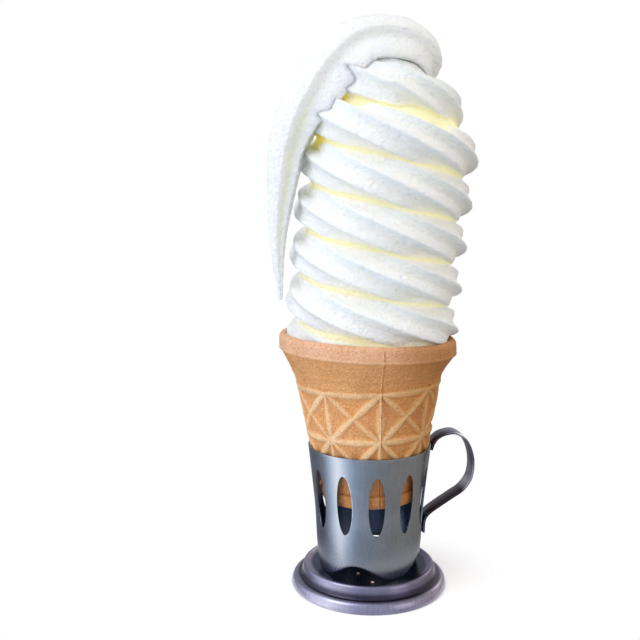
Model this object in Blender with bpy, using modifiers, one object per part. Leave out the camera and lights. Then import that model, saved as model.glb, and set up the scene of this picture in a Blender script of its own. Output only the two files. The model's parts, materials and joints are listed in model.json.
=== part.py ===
"""A tall soft serve in a moulded wafer cone, standing in a slotted steel holder with a strip handle.

The five pieces are the soft serve, the wafer cone, the holder's cup, its pressed base and its handle.
Metres, +Z up. Everything is modelled about the holder's own upright axis and then set over the origin,
which is the middle of the whole thing's footprint box on the table.
"""

import math

import bmesh
import bpy
from mathutils import Matrix, Vector

MM = 0.001
GAP = 0.3 * MM  # clearance between neighbouring pieces
WELD = 0.05 * MM  # points closer than this are one point
HOLDER_AXIS_X = -1.7 * MM  # where the holder's axis stands in the part's frame

# Pressed base
BASE_SHEET = 0.8 * MM
BASE_FLOOR_Z = 9.0 * MM
BASE_OUTLINE = (  # radius and height, in mm, from the floor over the bead and the brim to the foot
    (25.4, 9.0), (26.8, 9.3), (27.9, 9.9), (28.9, 9.3), (29.7, 6.9), (30.7, 4.9), (32.2, 4.7),
    (33.5, 3.8), (34.3, 1.9), (34.4, 0.7), (33.8, 0.0), (32.2, 0.0),
)
BASE_STEPS = 28

# Holder's cup
CUP_SHEET = 0.6 * MM
CUP_OUTLINE = ((27.0, 63.7), (25.6, 51.4), (24.0, 36.0), (23.2, 22.0), (22.3, 9.4))  # mm, rim to foot
CUP_RIM_Z = 63.7 * MM
CUP_STEPS = 40
ARCHES = 4
ARCH_HEIGHT = 6.4 * MM
ARCH_AZIMUTH = -17.0  # degrees from the front, to the right
SLOTS = 11
SLOT_AZIMUTH = 4.5
SLOT_WIDTH = 7.0 * MM
SLOT_HEIGHT = 26.2 * MM
SLOT_MIDDLE_Z = 42.4 * MM
SLOT_STEPS = 14

# Strip handle, in the upright plane that it lies in
HANDLE_AZIMUTH = 96.0
HANDLE_WIDTH = 9.0 * MM
HANDLE_SHEET = 1.1 * MM
HANDLE_ROUTE = (  # distance from the axis and height, in mm, from the upper weld to the lower one
    (27.4, 54.6), (28.0, 60.0), (29.6, 64.6), (33.4, 67.7), (38.4, 67.9), (43.2, 64.0), (45.9, 56.3),
    (45.4, 48.0), (41.8, 42.4), (36.4, 38.7), (30.6, 34.9), (26.2, 31.6), (24.4, 28.4), (24.05, 23.2),
)
HANDLE_STEPS = 3

# Wafer cone
WAFER_WALL = 2.6 * MM
WAFER_FLOOR = 3.0 * MM
WAFER_OUTLINE = (  # mm, rim to foot, on the crests of the moulding
    (37.7, 112.0), (38.2, 110.6), (38.1, 106.2), (37.3, 104.8), (35.4, 101.6), (33.4, 98.4),
    (31.8, 95.0), (31.3, 91.6),
)
WAFER_FOOT = (20.9, 40.6)
LATTICE_TOP = (31.3, 91.6)
LATTICE_WAIST = (27.6, 70.9)
LATTICE_FOOT = (23.4, 50.2)
CELLS = 8
CELL_AZIMUTH = 6.5
CELL_STEPS = 4
RIB_HALF_WIDTH = 1.15 * MM
RIB_HEIGHT = 0.75 * MM
WAFER_LEAN = -1.5  # degrees, about the holder's rim, to the right
RIM_DIP = 0.062  # how much the rim falls for each unit to the right
RIM_DIP_FROM = 93.0 * MM
RIM_DIP_FULL = 108.0 * MM

# Soft serve: a star-shaped rope wound on a leaning heap, with a drawn-out tail
ROPE_RADIUS = 9.5 * MM
ROPE_LOBES = 6
ROPE_LOBE = ((-13.0, 0.985), (13.0, 0.985), (30.0, 0.68))  # degrees and share of the radius, crest to groove
COIL_RADIUS = 28.4 * MM
COIL_PITCH = 18.35 * MM
COIL_BASE_Z = 118.2 * MM  # height of the rope's middle on the right, at turn 0
COIL_FIRST_TURN = -0.95
COIL_LAST_TURN = 5.25
COIL_STEPS = 16  # stations in a turn
COIL_NOD = 2.5  # degrees that each turn falls to the front
LEAN_FROM = 105.0 * MM
LEAN = 0.30  # metres to the right for each metre to the power 1.5
RETURN_FROM = 186.0 * MM  # from here up the heap bends back
RETURN = 4.2  # metres back for each square metre
TILT = 0.53  # each turn's fall to the right, as a slope for each square root of a metre above LEAN_FROM
LOBE_ANGLE = -20.0  # degrees above the outward direction, at turn 0
LOBE_TWIST = 360.0  # degrees in a turn, as the nozzle never turns with the cone
NARROWING = 7.0 * MM  # how far the coil closes in behind its top turn
NARROWING_TURNS = (4.4, 5.1)
TAIL_TWIST = 250.0  # degrees, all in the first part of the tail
TAIL_TWIST_END = 0.31  # share of the tail by which the twist is over
TAIL_ROUTE = (  # x, y, z and radius, in mm, from the end of the coil to the tip
    (-9.5, -13.0, 216.4, 9.4), (-14.2, 0.5, 217.6, 9.4), (-8.0, 12.5, 218.6, 9.4), (4.5, 17.5, 220.2, 9.4),
    (16.0, 12.6, 223.4, 9.4), (20.4, 3.6, 229.4, 9.4), (13.8, -1.2, 234.6, 9.4), (3.6, -4.6, 235.9, 9.3),
    (-5.2, -7.2, 234.4, 9.2), (-12.4, -9.4, 229.8, 9.4), (-18.6, -11.4, 222.8, 9.8), (-24.4, -13.0, 214.2, 9.9),
    (-30.2, -13.6, 203.6, 9.6), (-34.9, -13.2, 190.0, 8.1), (-37.3, -12.4, 175.0, 6.3),
    (-38.9, -11.4, 160.5, 4.4), (-39.3, -10.4, 147.0, 2.8), (-38.8, -9.6, 137.0, 1.7), (-38.4, -9.0, 128.4, 0.9),
)
TAIL_STEPS = 2
JOINT_SLIMMING = 0.98  # share of the size at which the rope's lengths end inside one another
CORE_OVERLAP = 0.8 * MM  # how far the core reaches past the rope's middle
CORE_STEPS = 20
FILL_TOP_Z = 108.2 * MM
FILL_RADIUS = 45.0 * MM
MOULD_STEPS = 48
MOULD_RADIUS = 60.0 * MM

# Colour, roughness and metallic value of each piece
FINISHES = {
    "soft_serve": ((0.88, 0.90, 0.86), 0.55, 0.0),
    "wafer_cone": ((0.62, 0.32, 0.11), 0.7, 0.0),
    "holder_cup": ((0.30, 0.35, 0.41), 0.35, 1.0),
    "holder_base": ((0.22, 0.21, 0.25), 0.3, 1.0),
    "holder_handle": ((0.18, 0.16, 0.18), 0.3, 1.0),
}


def clear_scene():
    for scene_object in list(bpy.data.objects):
        bpy.data.objects.remove(scene_object)


def new_collection(name, parent):
    collection = bpy.data.collections.new(name)
    parent.children.link(collection)
    return collection


def finish_of(name):
    colour, roughness, metallic = FINISHES[name]
    material = bpy.data.materials.new(name)
    material.use_nodes = True
    shader = material.node_tree.nodes["Principled BSDF"]
    shader.inputs["Base Color"].default_value = (*colour, 1.0)
    shader.inputs["Roughness"].default_value = roughness
    shader.inputs["Metallic"].default_value = metallic
    return material


def object_from(body, name, collection):
    """Turn a bmesh into an object of the collection."""
    mesh = bpy.data.meshes.new(name)
    body.to_mesh(mesh)
    body.free()
    made = bpy.data.objects.new(name, mesh)
    collection.objects.link(made)
    return made


def apply_modifiers(made):
    """Put the evaluated mesh in place of the modifiers."""
    bpy.context.view_layer.update()
    evaluated = made.evaluated_get(bpy.context.evaluated_depsgraph_get())
    mesh = bpy.data.meshes.new_from_object(evaluated)
    made.modifiers.clear()
    made.data = mesh


def boolean(made, operation, solver="EXACT", other=None, others=None):
    """Join or cut with one object, or with every object of a collection, and apply it."""
    modifier = made.modifiers.new(operation.lower(), "BOOLEAN")
    modifier.operation = operation
    modifier.solver = solver
    if others is None:
        modifier.object = other
    else:
        modifier.operand_type = "COLLECTION"
        modifier.collection = others
    apply_modifiers(made)


def thicken(made, sheet):
    """Give an open surface its sheet thickness, inwards."""
    solidify = made.modifiers.new("sheet", "SOLIDIFY")
    solidify.thickness = sheet
    solidify.offset = -1.0
    solidify.use_even_offset = True
    apply_modifiers(made)


def direction(azimuth, radius=1.0, height=0.0):
    """A point at an azimuth in degrees, counted from the front to the right."""
    angle = math.radians(azimuth)
    return Vector((radius * math.sin(angle), -radius * math.cos(angle), height))


def azimuth_of(point):
    return math.degrees(math.atan2(point.x, -point.y))


def smoothstep(low, high, value):
    share = min(1.0, max(0.0, (value - low) / (high - low)))
    return share * share * (3.0 - 2.0 * share)


def smooth_route(points, steps):
    """Points on a Catmull-Rom curve through vectors of any size, with steps between each two."""
    first = points[0] * 2 - points[1]
    last = points[-1] * 2 - points[-2]
    knots = [first, *points, last]
    route = []
    for before, start, end, after in zip(knots, knots[1:], knots[2:], knots[3:]):
        for step in range(steps):
            t = step / steps
            route.append(0.5 * (
                2.0 * start + (end - before) * t
                + (2.0 * before - 5.0 * start + 4.0 * end - after) * t * t
                + (3.0 * start - before - 3.0 * end + after) * t * t * t
            ))
    route.append(points[-1])
    return route


def turned(name, outline, steps, collection):
    """A surface of revolution from (radius, height) pairs in metres that run down its outer side."""
    mesh = bpy.data.meshes.new(name)
    mesh.from_pydata([(radius, 0.0, height) for radius, height in outline],
                     [(i, i + 1) for i in range(len(outline) - 1)], [])
    made = bpy.data.objects.new(name, mesh)
    collection.objects.link(made)
    screw = made.modifiers.new("turn", "SCREW")
    screw.steps = steps
    screw.render_steps = steps
    screw.use_merge_vertices = True
    screw.merge_threshold = WELD
    apply_modifiers(made)
    return made


def lofted(sections):
    """A closed body through rings of equally many points, with a flat face at each end."""
    body = bmesh.new()
    rings = [[body.verts.new(point) for point in section] for section in sections]
    for lower, upper in zip(rings, rings[1:]):
        for i in range(len(lower)):
            j = (i + 1) % len(lower)
            body.faces.new((lower[i], lower[j], upper[j], upper[i]))
    body.faces.new(tuple(reversed(rings[0])))
    body.faces.new(tuple(rings[-1]))
    bmesh.ops.recalc_face_normals(body, faces=body.faces)
    return body


def in_metres(outline):
    return [(radius * MM, height * MM) for radius, height in outline]


def radius_at(outline, height):
    """The radius of a (radius, height) outline that runs downwards, at a height."""
    for (upper_r, upper_z), (lower_r, lower_z) in zip(outline, outline[1:]):
        if lower_z <= height <= upper_z:
            return lower_r + (upper_r - lower_r) * (height - lower_z) / (upper_z - lower_z)
    return outline[0][0] if height > outline[0][1] else outline[-1][0]


def make_base(collection):
    """Pressed dish with a raised floor, a bead round it, a brim and a turned-in foot."""
    outline = [(0.0, BASE_FLOOR_Z), *in_metres(BASE_OUTLINE)]
    base = turned("holder_base", outline, BASE_STEPS, collection)
    thicken(base, BASE_SHEET)
    return base


def arch_rise(azimuth):
    """How far the cup's lower edge lifts off the floor."""
    wave = math.cos(math.radians(ARCHES * (azimuth - ARCH_AZIMUTH)))
    return ARCH_HEIGHT * (0.5 + 0.5 * wave) ** 1.25


def make_cup(collection, cutters):
    """Tapered sheet cup, with a waved lower edge and a ring of upright oval slots."""
    outline = in_metres(CUP_OUTLINE)
    cup = turned("holder_cup", outline, CUP_STEPS, collection)
    foot = outline[-1][1]
    for vertex in cup.data.vertices:
        if vertex.co.z < foot + WELD:
            rise = arch_rise(azimuth_of(vertex.co))
            radius = radius_at(outline, foot + rise)
            vertex.co = direction(azimuth_of(vertex.co), radius, foot + rise)
    thicken(cup, CUP_SHEET)
    slots = new_collection("slot_cutters", cutters)
    middle = radius_at(outline, SLOT_MIDDLE_Z)
    for index in range(SLOTS):
        azimuth = SLOT_AZIMUTH + index * 360.0 / SLOTS
        body = bmesh.new()
        bmesh.ops.create_cone(body, cap_ends=True, segments=SLOT_STEPS, radius1=0.5, radius2=0.5, depth=8 * MM)
        bmesh.ops.scale(body, vec=(SLOT_WIDTH, SLOT_HEIGHT, 1.0), verts=body.verts)
        outward = direction(azimuth)
        sideways = Vector((outward.y, -outward.x, 0.0))
        turn = Matrix((sideways, Vector((0.0, 0.0, 1.0)), outward)).transposed().to_4x4()
        bmesh.ops.transform(body, matrix=turn, verts=body.verts)
        bmesh.ops.translate(body, vec=outward * middle + Vector((0.0, 0.0, SLOT_MIDDLE_Z)), verts=body.verts)
        bmesh.ops.recalc_face_normals(body, faces=body.faces)
        object_from(body, f"slot_{index + 1}", slots)
    boolean(cup, "DIFFERENCE", others=slots)
    remove_objects(slots)
    weld(cup)
    return cup


def remove_objects(collection):
    for member in list(collection.objects):
        bpy.data.objects.remove(member)
    bpy.data.collections.remove(collection)


def make_handle(collection):
    """Steel strip welded to the cup at both ends and bent to an ear between them."""
    route = smooth_route([Vector((radius * MM, height * MM)) for radius, height in HANDLE_ROUTE], HANDLE_STEPS)
    outer, inner = [], []
    for index, point in enumerate(route):
        along = route[min(index + 1, len(route) - 1)] - route[max(index - 1, 0)]
        side = Vector((-along.y, along.x)).normalized() * HANDLE_SHEET / 2
        outer.append(point + side)
        inner.append(point - side)
    curve = bpy.data.curves.new("holder_handle", "CURVE")
    curve.dimensions = "2D"
    curve.fill_mode = "BOTH"
    curve.extrude = HANDLE_WIDTH / 2
    outline = outer + inner[::-1]
    spline = curve.splines.new("POLY")
    spline.points.add(len(outline) - 1)
    for spline_point, point in zip(spline.points, outline):
        spline_point.co = (point.x, point.y, 0.0, 1.0)
    spline.use_cyclic_u = True
    handle = bpy.data.objects.new("holder_handle", curve)
    collection.objects.link(handle)
    outward = direction(HANDLE_AZIMUTH)
    up = Vector((0.0, 0.0, 1.0))
    handle.matrix_world = Matrix((outward, up, outward.cross(up))).transposed().to_4x4()
    return handle


def settle(point):
    """Lean the cone in its holder and let its rim dip to the right, as the soft cone does under the load."""
    pivot = Vector((0.0, 0.0, CUP_RIM_Z))
    dip = RIM_DIP * point.x * smoothstep(RIM_DIP_FROM, RIM_DIP_FULL, point.z)
    dipped = Vector((point.x, point.y, point.z - dip))
    return pivot + Matrix.Rotation(math.radians(WAFER_LEAN), 3, "Y") @ (dipped - pivot)


def wafer_outer():
    """The cone's outer outline, rim to foot, in metres."""
    lattice = (LATTICE_WAIST, LATTICE_FOOT)
    return in_metres((*WAFER_OUTLINE, *lattice, (21.5, 42.0), WAFER_FOOT))


def wafer_inner():
    """The cone's inner outline, mouth to floor, in metres."""
    floor = WAFER_FOOT[1] * MM + WAFER_FLOOR
    below_rib = WAFER_WALL + RIB_HEIGHT
    outer = wafer_outer()
    mouth = [(radius - WAFER_WALL, height) for radius, height in outer[1:6]]
    throat = [(radius_at(outer, height * MM) - below_rib, height * MM) for height in (93.0, 84.0, 71.0, 57.0, 47.0)]
    return [*mouth, *throat, (radius_at(outer, floor) - 2.0 * below_rib, floor)]


def lattice_skin(body):
    """The cone's outside, two rows of crossed cells: its first and last ring, and the faces of each panel."""
    columns = CELLS * CELL_STEPS
    rows = [Vector(LATTICE_TOP), Vector(LATTICE_WAIST), Vector(LATTICE_FOOT)]
    rings = []
    for upper, lower in zip(rows, rows[1:]):
        for step in range(CELL_STEPS):
            radius, height = upper.lerp(lower, step / CELL_STEPS) * MM
            rings.append((radius, height))
    rings.append(tuple(rows[-1] * MM))
    grid = [
        [body.verts.new(direction(CELL_AZIMUTH + 360.0 * i / columns, radius, height)) for i in range(columns)]
        for radius, height in rings
    ]
    panels = {}
    for row in range(len(rings) - 1):
        for column in range(columns):
            across, down = column % CELL_STEPS, row % CELL_STEPS
            cell = (column // CELL_STEPS, row // CELL_STEPS)
            corners = (
                grid[row][column], grid[row][(column + 1) % columns],
                grid[row + 1][(column + 1) % columns], grid[row + 1][column],
            )
            on_falling = across == down
            on_rising = across + down == CELL_STEPS - 1
            if on_falling:
                panels.setdefault((*cell, "top" if down < CELL_STEPS / 2 else "right"), []).append(
                    body.faces.new((corners[0], corners[2], corners[1])))
                panels.setdefault((*cell, "left" if down < CELL_STEPS / 2 else "bottom"), []).append(
                    body.faces.new((corners[0], corners[3], corners[2])))
            elif on_rising:
                panels.setdefault((*cell, "top" if down < CELL_STEPS / 2 else "left"), []).append(
                    body.faces.new((corners[0], corners[3], corners[1])))
                panels.setdefault((*cell, "right" if down < CELL_STEPS / 2 else "bottom"), []).append(
                    body.faces.new((corners[1], corners[3], corners[2])))
            else:
                above_falling = across > down
                above_rising = across + down < CELL_STEPS - 1
                side = {(True, True): "top", (True, False): "right",
                        (False, True): "left", (False, False): "bottom"}[above_falling, above_rising]
                panels.setdefault((*cell, side), []).append(
                    body.faces.new((corners[0], corners[3], corners[2], corners[1])))
    return grid[0], grid[-1], list(panels.values())


def ring_of(body, radius, height, columns):
    return [body.verts.new(direction(CELL_AZIMUTH + 360.0 * i / columns, radius, height)) for i in range(columns)]


def bridge(body, upper, lower):
    """Faces between two rings, facing out where the first ring is the upper one of an outer wall."""
    for i in range(len(upper)):
        j = (i + 1) % len(upper)
        body.faces.new((upper[i], lower[i], lower[j], upper[j]))


def make_wafer(collection):
    """Moulded wafer cone: flared mouth with a thick rim band, lattice walls and a flat foot."""
    columns = CELLS * CELL_STEPS
    body = bmesh.new()
    lattice_top, lattice_foot, panels = lattice_skin(body)
    below = lattice_foot
    for radius, height in in_metres(((21.5, 42.0), WAFER_FOOT)):
        ring = ring_of(body, radius, height, columns)
        bridge(body, below, ring)
        below = ring
    body.faces.new(below)
    above = lattice_top
    for radius, height in reversed(in_metres(WAFER_OUTLINE[:-1])):
        ring = ring_of(body, radius, height, columns)
        bridge(body, ring, above)
        above = ring
    for radius, height in wafer_inner():
        ring = ring_of(body, radius, height, columns)
        bridge(body, above, ring)
        above = ring
    body.faces.new(above)
    bmesh.ops.recalc_face_normals(body, faces=body.faces)
    for panel in panels:
        bmesh.ops.inset_region(body, faces=panel, thickness=RIB_HALF_WIDTH, depth=-RIB_HEIGHT, use_even_offset=True)
    for vertex in body.verts:
        vertex.co = settle(vertex.co)
    return object_from(body, "wafer_cone", collection)


def heap_axis(height):
    """The heap's middle line, which bends to the right as it rises and back again near its top."""
    lean = LEAN * max(0.0, height - LEAN_FROM) ** 1.5
    back = RETURN * max(0.0, height - RETURN_FROM) ** 2
    return Vector((lean - back, 0.0, height))


def turn_plane(height):
    """Directions across a turn: to the right, tipped more the higher it is, and to the back with a slight nod."""
    tilt = math.atan(TILT * math.sqrt(max(0.0, height - LEAN_FROM)))
    nod = math.radians(COIL_NOD)
    return Vector((math.cos(tilt), 0.0, -math.sin(tilt))), Vector((0.0, math.cos(nod), math.sin(nod)))


def coil_radius(turn):
    """Distance of the rope's middle from the heap's middle line."""
    return COIL_RADIUS - NARROWING * smoothstep(*NARROWING_TURNS, turn)


def coil_station(turn):
    """Middle, outward and upward directions of the rope at a turn, counted from the right."""
    height = COIL_BASE_Z + COIL_PITCH * turn
    right, back = turn_plane(height)
    angle = -2.0 * math.pi * turn
    outward = right * math.cos(angle) + back * math.sin(angle)
    centre = heap_axis(height) + outward * coil_radius(turn)
    return centre, outward.normalized(), right.cross(back).normalized()


def star(centre, outward, upward, size, lobe_angle):
    """The rope's section: broad lobes between narrow grooves."""
    ring = []
    for lobe in range(ROPE_LOBES):
        for offset, share in ROPE_LOBE:
            angle = math.radians(lobe_angle + 360.0 * lobe / ROPE_LOBES + offset)
            ring.append(centre + (outward * math.cos(angle) + upward * math.sin(angle)) * size * share)
    return ring


def rope_sections():
    """Sections of the whole rope, from inside the cone round the heap and on to the tail's tip."""
    count = round((COIL_LAST_TURN - COIL_FIRST_TURN) * COIL_STEPS)
    sections = []
    for step in range(count + 1):
        turn = COIL_FIRST_TURN + (COIL_LAST_TURN - COIL_FIRST_TURN) * step / count
        centre, outward, upward = coil_station(turn)
        lobe_angle = LOBE_ANGLE + LOBE_TWIST * turn
        sections.append(star(centre, outward, upward, ROPE_RADIUS, lobe_angle))
    start = Vector((*centre, ROPE_RADIUS))
    knots = [start, *(Vector(knot) * MM for knot in TAIL_ROUTE)]
    route = smooth_route(knots, TAIL_STEPS)
    for index in range(1, len(route)):
        centre, size = route[index].to_3d(), route[index].w
        following = route[min(index + 1, len(route) - 1)].to_3d()
        along = (following - route[index - 1].to_3d()).normalized()
        outward = (outward - along * outward.dot(along)).normalized()
        upward = outward.cross(along) if upward.dot(outward.cross(along)) > 0 else along.cross(outward)
        twist = lobe_angle + TAIL_TWIST * min(1.0, index / (len(route) - 1) / TAIL_TWIST_END)
        sections.append(star(centre, outward, upward, size, twist))
    return sections


def slimmed(ring):
    middle = sum(ring, Vector()) / len(ring)
    return [middle + (point - middle) * JOINT_SLIMMING for point in ring]


def core_sections():
    """Round sections of the heap behind the rope, closed by a low dome."""
    low, high = FILL_TOP_Z - 6 * MM, COIL_BASE_Z + COIL_PITCH * 5.0
    levels = [(low + (high - low) * step / 8, 1.0) for step in range(9)]
    levels += [(high + 4.0 * MM, 0.86), (high + 6.6 * MM, 0.55)]
    sections = []
    for height, share in levels:
        centre = heap_axis(height)
        right, back = turn_plane(height)
        radius = (coil_radius((height - COIL_BASE_Z) / COIL_PITCH) + CORE_OVERLAP) * share
        ring = []
        for step in range(CORE_STEPS):
            angle = 2.0 * math.pi * step / CORE_STEPS
            ring.append(centre + (right * math.cos(angle) + back * math.sin(angle)) * radius)
        sections.append(ring)
    return sections


def make_mould(cutters):
    """What lies outside the cone's hollow up to its rim, which shapes the filling and clears the rim."""
    hollow = wafer_inner()
    rim_z = WAFER_OUTLINE[0][1] * MM + GAP
    floor = hollow[-1][1] + GAP
    below = floor - 6 * MM
    outline = [
        (MOULD_RADIUS, rim_z), (MOULD_RADIUS, below), (0.0, below), (0.0, floor), (hollow[-1][0] - GAP, floor),
        *((radius - GAP, height) for radius, height in reversed(hollow[:-1])),
        (hollow[0][0] - GAP, rim_z), (MOULD_RADIUS, rim_z),
    ]
    mould = turned("mould", outline, MOULD_STEPS, cutters)
    weld(mould)
    for vertex in mould.data.vertices:
        vertex.co = settle(vertex.co)
    mould.hide_render = True
    mould.display_type = "WIRE"
    return mould


def weld(made):
    body = bmesh.new()
    body.from_mesh(made.data)
    bmesh.ops.remove_doubles(body, verts=body.verts, dist=WELD)
    bmesh.ops.recalc_face_normals(body, faces=body.faces)
    body.to_mesh(made.data)
    body.free()


def keep_largest(made):
    """Drop the loose crumbs that trimming leaves beside the main body."""
    body = bmesh.new()
    body.from_mesh(made.data)
    left, groups = set(body.verts), []
    while left:
        group, edge = set(), [left.pop()]
        while edge:
            vertex = edge.pop()
            group.add(vertex)
            for link in vertex.link_edges:
                other = link.other_vert(vertex)
                if other in left:
                    left.remove(other)
                    edge.append(other)
        groups.append(group)
    largest = max(groups, key=len)
    loose = [vertex for group in groups if group is not largest for vertex in group]
    bmesh.ops.delete(body, geom=loose, context="VERTS")
    body.to_mesh(made.data)
    body.free()


def make_soft_serve(collection, cutters):
    """The filling, the heap and the wound rope as one body, cut to the cone's hollow."""
    lengths = new_collection("rope_lengths", cutters)
    sections = rope_sections()
    half_turn = COIL_STEPS // 2
    for index, start in enumerate(range(0, len(sections) - 1, half_turn)):
        length = sections[start:start + half_turn + 2]
        if start > 0:
            length[0] = slimmed(length[0])
        if start + half_turn + 2 < len(sections):
            length[-1] = slimmed(length[-1])
        object_from(lofted(length), f"rope_{index + 1}", lengths)
    body = bmesh.new()
    height = FILL_TOP_Z - WAFER_FOOT[1] * MM
    bmesh.ops.create_cone(body, cap_ends=True, segments=MOULD_STEPS, radius1=FILL_RADIUS, radius2=FILL_RADIUS,
                          depth=height)
    bmesh.ops.translate(body, vec=(0.0, 0.0, FILL_TOP_Z - height / 2), verts=body.verts)
    object_from(body, "filling", lengths)
    soft_serve = object_from(lofted(core_sections()), "soft_serve", collection)
    boolean(soft_serve, "UNION", "MANIFOLD", others=lengths)
    remove_objects(lengths)
    boolean(soft_serve, "DIFFERENCE", "MANIFOLD", other=make_mould(cutters))
    keep_largest(soft_serve)
    return soft_serve


def main():
    clear_scene()
    scene_collection = bpy.context.scene.collection
    parts = new_collection("soft_serve_cone", scene_collection)
    cutters = new_collection("cutters", scene_collection)
    axis = bpy.data.objects.new("holder_axis", None)
    parts.objects.link(axis)
    pieces = [
        make_base(parts),
        make_cup(parts, cutters),
        make_handle(parts),
        make_wafer(parts),
        make_soft_serve(parts, cutters),
    ]
    for piece in pieces:
        piece.data.materials.clear()
        piece.data.materials.append(finish_of(piece.name))
        if piece.type == "MESH":
            piece.data.shade_smooth()
            piece.data.set_sharp_from_angle(angle=math.radians(40))
        piece.parent = axis
    axis.location.x = HOLDER_AXIS_X


main()
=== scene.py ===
"""Tall soft serve in a moulded wafer cone, standing in a slotted steel holder: fine surfaces and finishes.

Everything is modelled about the holder's own upright axis and then moved to where the frame's base stands.
"""

import json
import logging
import math
from dataclasses import dataclass
from enum import Enum

import bmesh
import bpy
import numpy as np
from mathutils import Euler, Matrix, Vector, noise
from mathutils.kdtree import KDTree

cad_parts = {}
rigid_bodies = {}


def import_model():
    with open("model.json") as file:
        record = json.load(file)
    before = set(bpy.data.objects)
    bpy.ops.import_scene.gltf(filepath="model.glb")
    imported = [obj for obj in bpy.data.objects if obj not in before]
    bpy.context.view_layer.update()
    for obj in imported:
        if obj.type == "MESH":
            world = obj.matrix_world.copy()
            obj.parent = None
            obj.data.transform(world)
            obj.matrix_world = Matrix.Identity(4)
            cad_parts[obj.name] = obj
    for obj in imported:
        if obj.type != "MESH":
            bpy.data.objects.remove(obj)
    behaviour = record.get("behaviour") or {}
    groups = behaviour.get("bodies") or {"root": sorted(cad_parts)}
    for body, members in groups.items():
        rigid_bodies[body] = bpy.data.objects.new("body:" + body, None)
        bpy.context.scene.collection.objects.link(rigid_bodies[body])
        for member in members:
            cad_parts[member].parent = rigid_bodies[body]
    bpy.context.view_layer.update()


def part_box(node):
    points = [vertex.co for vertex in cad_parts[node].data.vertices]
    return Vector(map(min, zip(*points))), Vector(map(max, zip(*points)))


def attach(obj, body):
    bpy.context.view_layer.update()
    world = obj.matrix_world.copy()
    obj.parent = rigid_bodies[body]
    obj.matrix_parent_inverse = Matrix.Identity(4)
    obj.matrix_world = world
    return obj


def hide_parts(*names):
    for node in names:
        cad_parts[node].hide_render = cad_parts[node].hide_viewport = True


MM = 0.001
IMAGE_SIZE = 640  # pixels, both ways
LOG = logging.getLogger("soft_serve_cone")

Outline = tuple[tuple[float, float], ...]
Stops = tuple[tuple[float, str], ...]
Span = tuple[float, float]
Place = tuple[float, float, float]
Colour = tuple[float, float, float, float]
Numbers = np.ndarray
Section = tuple[Vector, Vector, Vector, float, float]  # middle, outward, upward, radius and lobe angle

# Settings of nodes that blend two colours, multiply them, or ease from one value to another
BLEND = {"data_type": "RGBA"}
MULTIPLY = {"data_type": "RGBA", "blend_type": "MULTIPLY"}
EASED = {"interpolation_type": "SMOOTHSTEP"}


class Grain(Enum):
    """Which way a steel surface was brushed, as the stretch of its streaks along u and v."""

    UPRIGHT = (1.0, 0.03)
    ROUND = (0.03, 1.0)
    RADIAL = (1.0, 0.06)


# Colours and nodes


def linear(code: str) -> Colour:
    """Turn an sRGB hex colour into linear values.

    Args:
        code: Six hex digits, such as "F3F0C0".

    Returns:
        Linear red, green and blue, and an alpha of 1.
    """
    shares = [int(code[i:i + 2], 16) / 255.0 for i in (0, 2, 4)]
    red, green, blue = (s / 12.92 if s <= 0.04045 else ((s + 0.055) / 1.055) ** 2.4 for s in shares)
    return red, green, blue, 1.0


def connect(tree: bpy.types.NodeTree, node: bpy.types.Node, links: dict) -> None:
    """Feed a node's inputs.

    Args:
        tree: The tree that holds the node.
        node: The node.
        links: Input name or index to a socket that feeds it, or to a plain value that is set on it.
    """
    for socket, source in links.items():
        if isinstance(source, bpy.types.NodeSocket):
            tree.links.new(source, node.inputs[socket])
        else:
            node.inputs[socket].default_value = source


def add_node(material: bpy.types.Material | bpy.types.World, kind: str, links: dict | None = None,
             stops: Stops = (), **settings: object) -> bpy.types.Node:
    """Add a shader node with its settings, input values and links.

    Args:
        material: The material or world whose tree takes the node.
        kind: Node class name without its "ShaderNode" start.
        links: Input name or index to a socket that feeds it, or to a plain value.
        stops: Position and sRGB hex colour of each stop, in order, if the node is a ramp.
        **settings: Properties of the node itself.

    Returns:
        The new node.
    """
    node = material.node_tree.nodes.new("ShaderNode" + kind)
    for name, value in settings.items():
        setattr(node, name, value)
    connect(material.node_tree, node, links or {})
    if stops:
        elements = node.color_ramp.elements
        while len(elements) < len(stops):
            elements.new(1.0)
        for element, (position, code) in zip(elements, stops):
            element.position = position
            element.color = linear(code)
    return node


def blank_material(name: str) -> tuple[bpy.types.Material, bpy.types.Node]:
    """Make a material that holds one Principled shader.

    Args:
        name: The material's name.

    Returns:
        The material and its shader node.
    """
    material = bpy.data.materials.new(name)
    material.use_nodes = True
    return material, material.node_tree.nodes["Principled BSDF"]


# Finishes


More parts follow.
